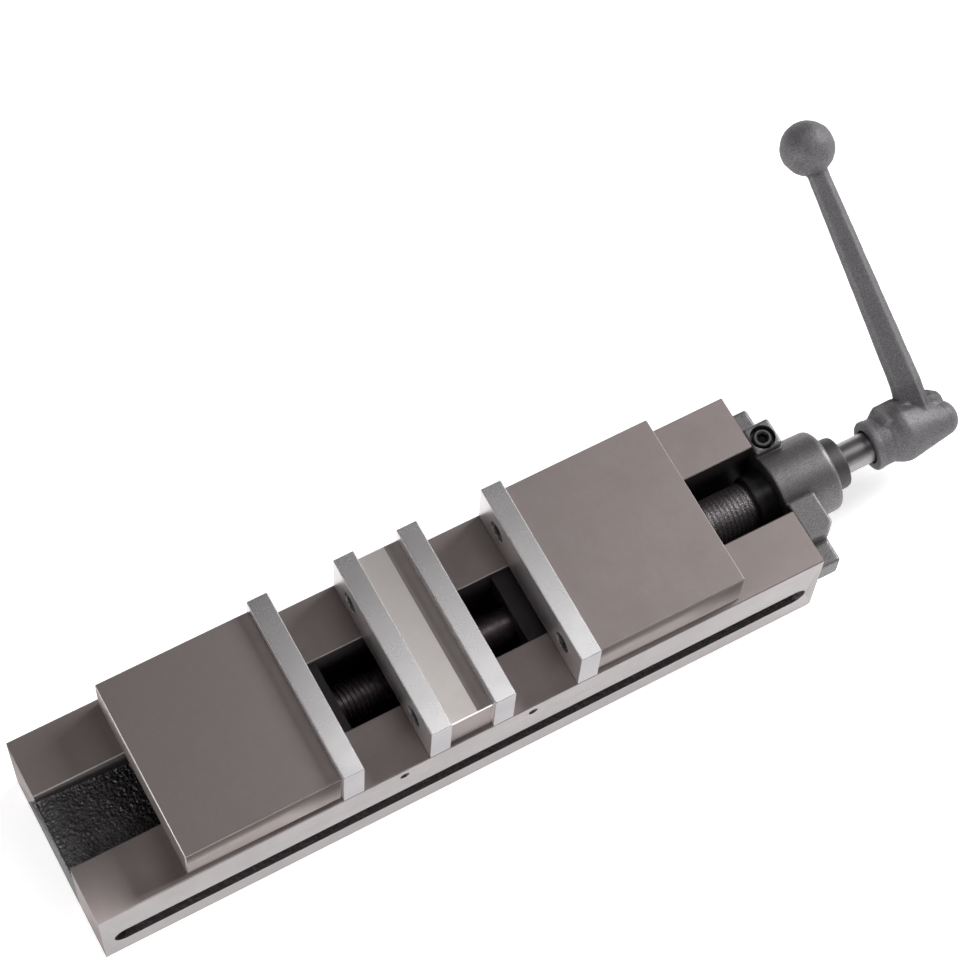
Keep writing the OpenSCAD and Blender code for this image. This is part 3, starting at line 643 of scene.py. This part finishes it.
# Lead screw
# One steel bar: a right-hand thread, a journal in the bush of the centre jaw, a waist, a left-hand
# thread of larger diameter, the thrust collar inside the housing, and a shaft that ends in a hexagon.
(LEFT_END, _, under), (HEXAGON_END, COLLAR_R, above) = corners("lead_screw")
SCREW_Z = (under + above) / 2
SPIN_STEPS = 96
LEAD, THREAD_STEPS = 2.5, 40
LEFT_CORE_R, WAIST_R, RIGHT_CORE_R = 8.85, 8.8, 12.7
JOURNAL_HALF, JOURNAL_R, JOURNAL_EDGE = 13.7, 10.5, 0.6
RIGHT_START, RIGHT_END = 72, 183.5
# the bearing's stretch starts where the washers do, and the collar lies between them
BEARING_R = 13
BORE_START, COLLAR_START = corners("inner_thrust_washers")[0][0], corners("inner_thrust_washers")[1][0]
COLLAR_END = corners("outer_thrust_washers")[0][0]
SHAFT_R, SHAFT_END, SHAFT_EDGE = 8.1, 263, 0.3
# the hexagon starts a little way inside the shaft
HEXAGON_R, HEXAGON_START, HEXAGON_EDGE = 8.08, SHAFT_END - 0.4, 1.2
# threads: where each starts and ends, its radius and its depth
LEFT_THREAD = (LEFT_END, -JOURNAL_HALF, 10, 1.1)
RIGHT_THREAD = (RIGHT_START, RIGHT_END, 13, 0.12)
# one turn of thread: places as shares of the lead, and depth as a share of its own
RIDGE = [(0, 0), (0.3, 0), (0.46, 1), (0.84, 1), (1, 0)]

screw_steel, tree, shader = new_material("screw_steel")
oil = grains(tree, 4, 3, 0.6)
tone = stops(tree, oil, (0.3, (0.11, 0.092, 0.10)), (0.7, (0.19, 0.16, 0.175)))
tree.links.new(tone, shader.inputs["Base Color"])
tree.links.new(stops(tree, oil, (0.3, 0.46), (0.7, 0.34)), shader.inputs["Roughness"])
shader.inputs["Metallic"].default_value = 0.9
bumped(tree, shader, (grains(tree, 0.9, 3, 0.6), 0.05))
shaft_steel = ground_metal("shaft_steel", (0.27, 0.26, 0.265), (0.34, 0.33, 0.335), 0.36, 0.04, 0.006)
rough_screw, tree, shader = new_material("rough_screw")
# the light specks in its tone are painted sparkle
sparkle = grains(tree, 0.8, 3, 0.7)
tone = stops(tree, sparkle, (0.35, (0.06, 0.052, 0.056)), (0.7, (0.24, 0.22, 0.23)))
tree.links.new(tone, shader.inputs["Base Color"])
tree.links.new(stops(tree, sparkle, (0.3, 0.55), (0.7, 0.34)), shader.inputs["Roughness"])
shader.inputs["Metallic"].default_value = 0.9
bumped(tree, shader, (sparkle, 0.25))
OILED, SHAFT, ROUGH = range(3)


def turned(shape, outline):
    """Spins an outline of (x, radius) points about the line of the screw into a closed shape."""
    line = [shape.verts.new((x, 0, SCREW_Z + radius)) for x, radius in outline]
    edges = [shape.edges.new(pair) for pair in zip(line[:-1], line[1:])]
    bmesh.ops.spin(
        shape, geom=line + edges, cent=(0, 0, SCREW_Z), axis=(1, 0, 0), angle=2 * math.pi,
        steps=SPIN_STEPS, use_merge=True, use_duplicate=False
    )


def rod(shape, start, end, radius, sides=64):
    """Adds a round or many-sided rod between two points."""
    start, end = Vector(start), Vector(end)
    turn = (end - start).to_track_quat("Z", "X").to_matrix().to_4x4()
    return bmesh.ops.create_cone(
        shape, cap_ends=True, segments=sides, radius1=radius, radius2=radius, depth=(end - start).length,
        matrix=Matrix.Translation((start + end) / 2) @ turn
    )["verts"]


def closed(shape):
    """Merges the seams and poles of spun parts and points their faces outwards."""
    bmesh.ops.remove_doubles(shape, verts=shape.verts, dist=0.0005)
    bmesh.ops.recalc_face_normals(shape, faces=shape.faces)
    return shape


def thread(span, hand):
    """A screw thread as one swept ridge, cut square at both ends."""
    low, high, radius, depth = span
    made = bmesh.new()
    line = [
        made.verts.new((low - 2 * LEAD + share * LEAD, 0, SCREW_Z + (radius - depth * deep)))
        for share, deep in RIDGE
    ]
    edges = [made.edges.new(pair) for pair in zip(line[:-1], line[1:])]
    turns = int((high - low) / LEAD) + 4
    bmesh.ops.spin(
        made, geom=line + edges, cent=(0, 0, SCREW_Z), axis=(1, 0, 0), dvec=(LEAD / THREAD_STEPS, 0, 0),
        angle=hand * 2 * math.pi * turns, steps=turns * THREAD_STEPS, use_merge=False, use_duplicate=False
    )
    bmesh.ops.remove_doubles(made, verts=made.verts, dist=0.002)
    for x, way in ((low, -1), (high, 1)):
        bmesh.ops.bisect_plane(
            made, geom=made.verts[:] + made.edges[:] + made.faces[:], dist=0.0001,
            plane_co=(x, 0, 0), plane_no=(way, 0, 0), clear_outer=True
        )
    bmesh.ops.holes_fill(made, edges=[edge for edge in made.edges if edge.is_boundary], sides=0)
    bmesh.ops.recalc_face_normals(made, faces=made.faces)
    return made


shape = bmesh.new()
turned(shape, [
    (LEFT_END, 0), (LEFT_END, LEFT_CORE_R), (-JOURNAL_HALF, LEFT_CORE_R),
    (-JOURNAL_HALF, JOURNAL_R - JOURNAL_EDGE), (JOURNAL_EDGE - JOURNAL_HALF, JOURNAL_R),
    (JOURNAL_HALF - JOURNAL_EDGE, JOURNAL_R), (JOURNAL_HALF, JOURNAL_R - JOURNAL_EDGE),
    (JOURNAL_HALF + 0.9, WAIST_R), (RIGHT_START - 1, WAIST_R), (RIGHT_START, WAIST_R + 0.6),
    (RIGHT_START, RIGHT_CORE_R), (RIGHT_END, RIGHT_CORE_R), (RIGHT_END + 1.7, RIGHT_CORE_R - 0.6),
    (RIGHT_END + 1.9, BEARING_R), (BORE_START, BEARING_R), (COLLAR_START, BEARING_R),
    (COLLAR_START, COLLAR_R), (COLLAR_END, COLLAR_R), (COLLAR_END, SHAFT_R),
    (SHAFT_END - SHAFT_EDGE, SHAFT_R), (SHAFT_END, SHAFT_R - 0.2), (SHAFT_END, 0)
])
for face in shape.faces:
    face.material_index = SHAFT if face.calc_center_median().x > BED_HALF else OILED
closed(shape)
# the hexagon end, with its corners turned off
hexagon = rod(shape, (HEXAGON_START, 0, SCREW_Z), (HEXAGON_END, 0, SCREW_Z), HEXAGON_R, 6)
for face in {face for v in hexagon for face in v.link_faces}:
    face.material_index = SHAFT
round_edges(shape, [
    edge for edge in {edge for v in hexagon for edge in v.link_edges}
    if all(v.co.x > HEXAGON_END - HAIR for v in edge.verts)
], HEXAGON_EDGE, 1)
add_shape(shape, thread(LEFT_THREAD, 1))
add_shape(shape, thread(RIGHT_THREAD, -1))
for face in shape.faces:
    x, y, z = face.calc_center_median()
    if RIGHT_START < x < RIGHT_END + 1.5 and math.hypot(y, z - SCREW_Z) > RIGHT_CORE_R - 1.7:
        face.material_index = ROUGH
screw = smooth_faces(mesh_object("lead_screw_threaded", shape, screw_steel, shaft_steel, rough_screw), 30)
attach(screw, "screw")
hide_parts("lead_screw")


# Bearing housing
# A grey iron casting bolted to the right end of the bed by two ears. Its hub holds the bearings of
# the screw, a black nose reaches into the channel, and a boss beside the hub takes the lock screw.
(NOSE_START, EAR_FRONT, FOOT_Z), (HUB_END, EAR_BACK, _) = corners("bearing_housing")
NOSE_R, NOSE_BORE_R, BORE_R = 15, 13.05, 17
HUB_OUTLINE = [
    (BED_HALF, 0), (BED_HALF, 22.25), (HUB_END - 2.5, 21.5), (HUB_END - 0.9, 20.9), (HUB_END, 19.4),
    (HUB_END, 0)
]
EAR_END, BOSS_END = BED_HALF + 12, BED_HALF + 15
EAR_LOW, EAR_HIGH = 28, 43
# front ear, back ear, foot and boss: two corners of each, and the rounding of its edges
LUMPS = (
    ((BED_HALF, EAR_FRONT, EAR_LOW), (EAR_END, -34, EAR_HIGH), 1.2),
    ((BED_HALF, 26, EAR_LOW), (EAR_END, EAR_BACK, EAR_HIGH), 1.2),
    ((BED_HALF, -26, FOOT_Z), (EAR_END, 26, SCREW_Z), 1.2),
    ((BED_HALF, 15, 20), (BOSS_END, 30, BED_TOP), 1)
)
SHOULDER, SHOULDER_FRONT, SHOULDER_EDGE = ((BED_HALF, -37, 20), (BOSS_END, -15, 54)), -36, 4
HEAD_HOLE_R, BOLT_HOLE_R, TAPPED_R = 5.5, 3.5, 3.05
# the cell that castings are melted in, and how strongly their rims are lightened, as wear and painted sheen,
# and their inner corners painted with shade
VOXEL, RIM_AND_HOLLOW_PAINT = 0.55, 7


def cast_grey(name, dark, light, rim_wear_and_sheen, rough, grain, depth):
    """Grey iron with the fine grain of its mould; its rims are lighter, partly as rubbed wear and partly as
    painted sheen, and its inner corners are painted dark, as shade.
    """
    made, tree, shader = new_material(name)
    sand = grains(tree, grain, 3, 0.65)
    patches = stops(tree, grains(tree, 12, 3, 0.6), (0.3, 0.42), (0.7, 0.58))
    tone = mixed(tree, 0.4, stops(tree, sand, (0.32, dark), (0.68, light)), patches, "SOFT_LIGHT")
    # rims are lightened as wear and painted sheen, and inner corners get painted shade
    for attribute, shade in (("rim_wear_and_sheen", rim_wear_and_sheen), ("hollow_shade", (0.03, 0.028, 0.03, 1))):
        amount = tree.nodes.new("ShaderNodeAttribute")
        amount.attribute_name = attribute
        tone = mixed(tree, amount.outputs["Fac"], tone, shade)
    tree.links.new(tone, shader.inputs["Base Color"])
    tree.links.new(stops(tree, sand, (0.3, rough + 0.1), (0.72, rough - 0.12)), shader.inputs["Roughness"])
    shader.inputs["Metallic"].default_value = 0.85
    bumped(tree, shader, (grains(tree, 2.6, 2, 0.5), depth * 1.6), (sand, depth))
    return made


def box(shape, low, high, width=0):
    """Adds a box between two corners, with its edges rounded to a width."""
    made = bmesh.ops.create_cube(shape, size=1)["verts"]
    low, high = Vector(low), Vector(high)
    bmesh.ops.scale(shape, verts=made, vec=high - low)
    bmesh.ops.translate(shape, verts=made, vec=(low + high) / 2)
    if width:
        round_edges(shape, {edge for v in made for edge in v.link_edges}, width)
    return made


def settle(piece):
    """Applies the modifiers of a piece."""
    done = piece.evaluated_get(bpy.context.evaluated_depsgraph_get())
    mesh = bpy.data.meshes.new_from_object(done)
    piece.modifiers.clear()
    piece.data = mesh


def cast(name, shape, smoothing, *materials):
    """Melts the joined shapes of a casting into one skin with soft inner corners."""
    made = mesh_object(name, shape, *materials)
    melt = made.modifiers.new("melt", "REMESH")
    melt.mode = "VOXEL"
    melt.voxel_size = VOXEL * MM
    soften = made.modifiers.new("soften", "SMOOTH")
    soften.factor = 0.5
    soften.iterations = smoothing
    settle(made)
    return made


def paint_rim_sheen_and_hollow_shade(piece, extra=None):
    """Writes how far each point stands out from its neighbours or lies behind them: what stands out is
    lightened, as wear and painted sheen, and what lies behind gets painted shade.
    """
    mesh = piece.data
    points = numpy.empty(len(mesh.vertices) * 3, dtype=numpy.float32)
    mesh.vertices.foreach_get("co", points)
    points = points.reshape(-1, 3) / MM
    normals = numpy.empty(len(mesh.vertices) * 3, dtype=numpy.float32)
    mesh.vertices.foreach_get("normal", normals)
    normals = normals.reshape(-1, 3)
    pairs = numpy.empty(len(mesh.edges) * 2, dtype=numpy.int32)
    mesh.edges.foreach_get("vertices", pairs)
    pairs = pairs.reshape(-1, 2)
    ends = numpy.concatenate((pairs, pairs[:, ::-1]))
    count = numpy.bincount(ends[:, 0], minlength=len(points)).clip(1)[:, None]

    def around(values):
        total = numpy.zeros_like(values)
        numpy.add.at(total, ends[:, 0], values[ends[:, 1]])
        return total / count

    out = ((points - around(points)) * normals).sum(axis=1, keepdims=True)
    for _ in range(3):
        out = around(out)
    rim_wear_and_sheen = (out * RIM_AND_HOLLOW_PAINT).clip(0, 1)[:, 0]
    hollow_shade = (-out * RIM_AND_HOLLOW_PAINT * 1.6).clip(0, 0.75)[:, 0]
    if extra:
        light, dark = extra(points)
        rim_wear_and_sheen, hollow_shade = numpy.maximum(rim_wear_and_sheen, light), numpy.maximum(hollow_shade, dark)
    for name, values in (("rim_wear_and_sheen", rim_wear_and_sheen), ("hollow_shade", hollow_shade)):
        mesh.attributes.new(name, "FLOAT", "POINT").data.foreach_set("value", values.astype(numpy.float32))


def cut_away(piece, shape):
    """Cuts a shape out of a piece."""
    cutter = mesh_object("cutter", shape)
    saw = piece.modifiers.new("saw", "BOOLEAN")
    saw.operation = "DIFFERENCE"
    saw.solver = "MANIFOLD"
    saw.object = cutter
    settle(piece)
    bpy.data.objects.remove(cutter)


cast_iron = cast_grey(
    "cast_iron", (0.12, 0.116, 0.118), (0.235, 0.226, 0.230), (0.30, 0.292, 0.30, 1), 0.5, 0.75, 0.05
)
nose_black, tree, shader = new_material("nose_black")
tree.links.new(stops(tree, grains(tree, 3, 2), (0.3, 0.012), (0.7, 0.02)), shader.inputs["Base Color"])
shader.inputs["Roughness"].default_value = 0.3

shape = bmesh.new()
turned(shape, HUB_OUTLINE)
closed(shape)
for low, high, width in LUMPS:
    box(shape, low, high, width)
shoulder = box(shape, *SHOULDER)
round_edges(shape, [
    edge for edge in {edge for v in shoulder for edge in v.link_edges}
    if all(v.co.x > EAR_END and v.co.y < SHOULDER_FRONT for v in edge.verts)
], SHOULDER_EDGE, 1)
housing = cast("bearing_housing_cast", shape, 8, cast_iron, nose_black)
paint_rim_sheen_and_hollow_shade(housing)
shape = bmesh.new()
box(shape, (180, -60, 0), (BED_HALF, 60, 60))
cut_away(housing, shape)
for holes in (
    [
        ((BED_HALF - 1, 0, SCREW_Z), (BORE_START + 1, 0, SCREW_Z), NOSE_BORE_R),
        ((BORE_START, 0, SCREW_Z), (230, 0, SCREW_Z), BORE_R)
    ],
    [
        ((HOUSING_BOLT_SEAT, y, HOUSING_BOLT_Z), (BOSS_END + 1, y, HOUSING_BOLT_Z), HEAD_HOLE_R)
        for y in HOUSING_BOLT_YS
    ],
    [((190, y, HOUSING_BOLT_Z), (202, y, HOUSING_BOLT_Z), BOLT_HOLE_R) for y in HOUSING_BOLT_YS],
    [(LOCK_SCREW, (*LOCK_SCREW.xy, 60), HEAD_HOLE_R + 1)],
    [((*LOCK_SCREW.xy, LOCK_SCREW.z - 21), (*LOCK_SCREW.xy, LOCK_SCREW.z + 0.5), TAPPED_R)]
):
    shape = bmesh.new()
    for start, end, radius in holes:
        rod(shape, start, end, radius)
    cut_away(housing, shape)
nose = bmesh.new()
turned(nose, [
    (NOSE_START, NOSE_BORE_R), (NOSE_START, NOSE_R - 0.6), (NOSE_START + 0.6, NOSE_R),
    (BED_HALF + 0.5, NOSE_R), (BED_HALF + 0.5, NOSE_BORE_R), (NOSE_START, NOSE_BORE_R)
])
closed(nose)
for face in nose.faces:
    face.material_index = 1
bmesh.ops.scale(nose, verts=nose.verts, vec=(MM, MM, MM))
shape = bmesh.new()
shape.from_mesh(housing.data)
add_shape(shape, nose)
shape.to_mesh(housing.data)
shape.free()
smooth_faces(housing, 40)
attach(housing, "root")
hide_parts("bearing_housing")


# Gland cap and seal
# A round iron cap in the end of the hub closes the bearing chamber. A rubber seal in it lies with its
# lip on the shaft.
CAP_START, CAP_END = corners("gland_cap")[0][0], corners("gland_cap")[1][0]
SEAL_START, SEAL_END = corners("shaft_seal")[0][0], corners("shaft_seal")[1][0]
CAP_OUTLINE = [
    (CAP_START, 16.95), (HUB_END - 0.1, 16.95), (HUB_END - 0.1, 13.8), (CAP_END - 2, 13.7),
    (CAP_END - 0.6, 13.2), (CAP_END, 11.9), (CAP_END, 11.6), (CAP_END - 1.4, 11.5), (SEAL_START, 11.5),
    (SEAL_START, 8.3), (CAP_START, 8.3), (CAP_START, 16.95)
]
SEAL_OUTLINE = [
    (SEAL_START, 11.45), (SEAL_END - 0.2, 11.45), (SEAL_END, 11.2), (SEAL_END, 10.4), (SEAL_END - 0.9, 9.9),
    (SEAL_END - 0.6, 9.3), (SEAL_END - 0.1, 8.9), (SEAL_END - 0.3, 8.15), (SEAL_START, 8.15),
    (SEAL_START, 11.45)
]

shape = bmesh.new()
turned(shape, CAP_OUTLINE)
cap_iron = ground_metal("cap_iron", (0.085, 0.082, 0.084), (0.11, 0.107, 0.11), 0.55, 0.04, 0.01, 0.9)
cap = smooth_faces(mesh_object("gland_cap_turned", closed(shape), cap_iron))
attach(cap, "root")
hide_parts("gland_cap")

rubber, tree, shader = new_material("seal_rubber")
tree.links.new(stops(tree, grains(tree, 0.6, 2), (0.3, 0.012), (0.7, 0.03)), shader.inputs["Base Color"])
shader.inputs["Roughness"].default_value = 0.6
shape = bmesh.new()
turned(shape, SEAL_OUTLINE)
seal = smooth_faces(mesh_object("shaft_seal_lipped", closed(shape), rubber))
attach(seal, "root")
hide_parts("shaft_seal")


# Thrust bearings
# Hardened washers with a brass cage of needle rollers between them, on both sides of the collar of
# the screw. They sit in the bore of the housing, and the gland cap closes it.
race_steel = ground_metal("race_steel", (0.58, 0.58, 0.60), (0.68, 0.68, 0.70), 0.2, 0.03, 0.004)
cage_brass = ground_metal("cage_brass", (0.55, 0.40, 0.15), (0.66, 0.50, 0.22), 0.35)
refinish(race_steel, "inner_thrust_washers", "outer_thrust_washers", "needle_rollers")
refinish(cage_brass, "inner_needle_cage", "outer_needle_cage")


# Crank
# One iron casting: a hub with a hexagon socket, a flat pad on the hub with a web behind the arm,
# an oval arm that tapers outwards, and a ball to hold.
CRANK_X = corners("crank")[0][0]
CRANK_ANGLE = math.radians(29)
ARM_X, ARM_R = 32.3, 150
BALL_R = 14
# the turned neck: places along the hub and radii
NECK_OUTLINE = [
    (0, 0), (0, 12.6), (0.6, 13.2), (3.2, 13.2), (4, 12.8), (10.5, 12.8), (13, 14.2), (16, 15.6), (19, 16.1),
    (20, 16), (20, 0)
]
# the rounded end of the hub, which lies a little below the line of the screw
SNUB, SNUB_SIZE = Vector((43, -3.5, 0.5)), Vector((7.8, 9.3, 9.3))
# the hub narrows towards it: places of the middles of its rings, and radii
HUB = ((18, 0, 0, 16), (20, 0, 0, 16), (*SNUB, SNUB_SIZE.z))
# the pad: at each place along the hub, the heights and half widths of its foot, crease, slope and ridge
PAD = {
    8: ((0, 11), (8, 10), (12, 6), (15, 0)), 11: ((0, 11.5), (9.5, 11.6), (13.4, 7), (17, 0)),
    21: ((0, 11.5), (9.2, 12.4), (13.6, 7.5), (17, 0)), 41.5: ((0, 8), (5.6, 5.8), (10.4, 4.6), (13.4, 0)),
    46.3: ((0, 6), (4.4, 4.2), (8, 3.4), (10.4, 0))
}
# the arm: its outline as shares of its width and depth, and its sections, each a place out from the
# hub, the place of its middle along the hub, a width and a depth
ARM_OUTLINE = [
    (-0.5, 0), (-0.42, 0.24), (0.15, 0.42), (0.5, 0.04), (0.36, -0.3), (-0.1, -0.42), (-0.42, -0.22)
]
ARM_SECTIONS = ((5, ARM_X - 1.5, 18, 26), (22, ARM_X, 16.8, 17.5), (ARM_R - 6, ARM_X, 11.3, 11.3))
# the bore that clears the shaft, and the socket that fits over the hexagon
SHAFT_BORE_R, SOCKET_R, SOCKET_START, SOCKET_END = 9.3, 8.26, CRANK_X - 5, CRANK_X + 37
# dents of the skin: how deep, and how many in a millimetre
DENT, BALL_DENT, DENT_PITCHES = 0.12, 0.32, (0.16, 0.42)

crank_iron = cast_grey(
    "crank_iron", (0.12, 0.117, 0.122), (0.235, 0.228, 0.237), (0.33, 0.322, 0.33, 1), 0.68, 0.7, 0.06
)


def skinned(shape, rings):
    """A closed body through rings of points, each ring with the same number of them."""
    rings = [[shape.verts.new(point) for point in ring] for ring in rings]
    edges = [[shape.edges.new(pair) for pair in zip(ring, ring[1:] + ring[:1])] for ring in rings]
    for low, high in zip(edges[:-1], edges[1:]):
        bmesh.ops.bridge_loops(shape, edges=low + high)
    for ring in (rings[0], rings[-1]):
        shape.faces.new(ring)
    made = {face for ring in rings for v in ring for face in v.link_faces}
    bmesh.ops.recalc_face_normals(shape, faces=list(made))


def dent(mesh):
    """Dents the skin of the crank lightly, and more on the ball."""
    ball = Vector((CRANK_X + ARM_X, ARM_R * math.cos(CRANK_ANGLE), SCREW_Z + ARM_R * math.sin(CRANK_ANGLE)))
    normals = [v.normal.copy() for v in mesh.vertices]
    moved = []
    for v, out in zip(mesh.vertices, normals):
        place = v.co / MM
        depth = BALL_DENT if (place - ball).length < BALL_R + 2 else DENT
        broad, fine = (noise.noise(place * pitch) * depth for pitch in DENT_PITCHES)
        moved.extend((place + out * (broad + 0.4 * fine)) * MM)
    mesh.vertices.foreach_set("co", moved)
    mesh.update()


def ramp(values, start, end):
    """0 at one place and 1 at the other, with a straight slope between them."""
    return ((values - start) / (end - start)).clip(0, 1)


def hub_sheen_and_pad_shade(points):
    """A painted sheen on the flat at the front of the hub, fading below, and painted shade on the pad above
    it.

    Places are in millimetres from the collar of the crank, along its hub (x), out along its arm
    (along) and towards the side that is up at rest (up).
    """
    x = points[:, 0] - CRANK_X
    y, z = points[:, 1], points[:, 2] - SCREW_Z
    along = y * math.cos(CRANK_ANGLE) + z * math.sin(CRANK_ANGLE)
    up = z * math.cos(CRANK_ANGLE) - y * math.sin(CRANK_ANGLE)
    crease = 10.8 - 0.19 * (x - 17)
    edge = 17.2 + 0.2 * (10.6 - along)
    flat = ramp(x, edge, edge + 0.5) * ramp(along, crease, crease - 0.6)
    fade = ramp(along, -8, 4) * ramp(x, 48, 30)
    band = ramp(x, 8, 10) * ramp(x, 14, 12) * ramp(along, -6, 4)
    above = ramp(along, crease, crease + 0.8) * ramp(along, 22, 19) * ramp(x, 14, 18)
    # the painted sheen on the flat, and the painted shade on the pad
    return 0.35 * numpy.maximum(flat * fade, band) * (up > 2), 0.32 * above


shape = bmesh.new()
turned(shape, NECK_OUTLINE)
bmesh.ops.translate(shape, verts=shape.verts, vec=(0, 0, -SCREW_Z))
closed(shape)
snub = bmesh.ops.create_uvsphere(shape, u_segments=48, v_segments=24, radius=1)["verts"]
bmesh.ops.scale(shape, verts=snub, vec=SNUB_SIZE)
bmesh.ops.translate(shape, verts=snub, vec=SNUB)
TURN = [2 * math.pi * step / 64 for step in range(64)]
skinned(shape, [[(x, y + r * math.cos(t), z + r * math.sin(t)) for t in TURN] for x, y, z, r in HUB])
skinned(shape, [
    [(x, y, -z) for y, z in half] + [(x, y, z) for y, z in half[-2::-1]] for x, half in PAD.items()
])
skinned(shape, [
    [(x + across * width, y, up * depth) for across, up in ARM_OUTLINE] for y, x, width, depth in ARM_SECTIONS
])
bmesh.ops.create_uvsphere(
    shape, u_segments=64, v_segments=32, radius=BALL_R, matrix=Matrix.Translation((ARM_X, ARM_R, 0))
)
bmesh.ops.rotate(shape, cent=(0, 0, 0), matrix=Matrix.Rotation(CRANK_ANGLE, 3, "X"), verts=shape.verts)
bmesh.ops.translate(shape, verts=shape.verts, vec=(CRANK_X, 0, SCREW_Z))
crank = cast("crank_cast", shape, 4, crank_iron)
dent(crank.data)
paint_rim_sheen_and_hollow_shade(crank, hub_sheen_and_pad_shade)
shape = bmesh.new()
rod(shape, (SOCKET_START, 0, SCREW_Z), (SHAFT_END, 0, SCREW_Z), SHAFT_BORE_R)
cut_away(crank, shape)
shape = bmesh.new()
rod(shape, (SOCKET_START, 0, SCREW_Z), (SOCKET_END, 0, SCREW_Z), SOCKET_R, 6)
cut_away(crank, shape)
smooth_faces(crank, 50)
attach(crank, "crank_arm")
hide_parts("crank")
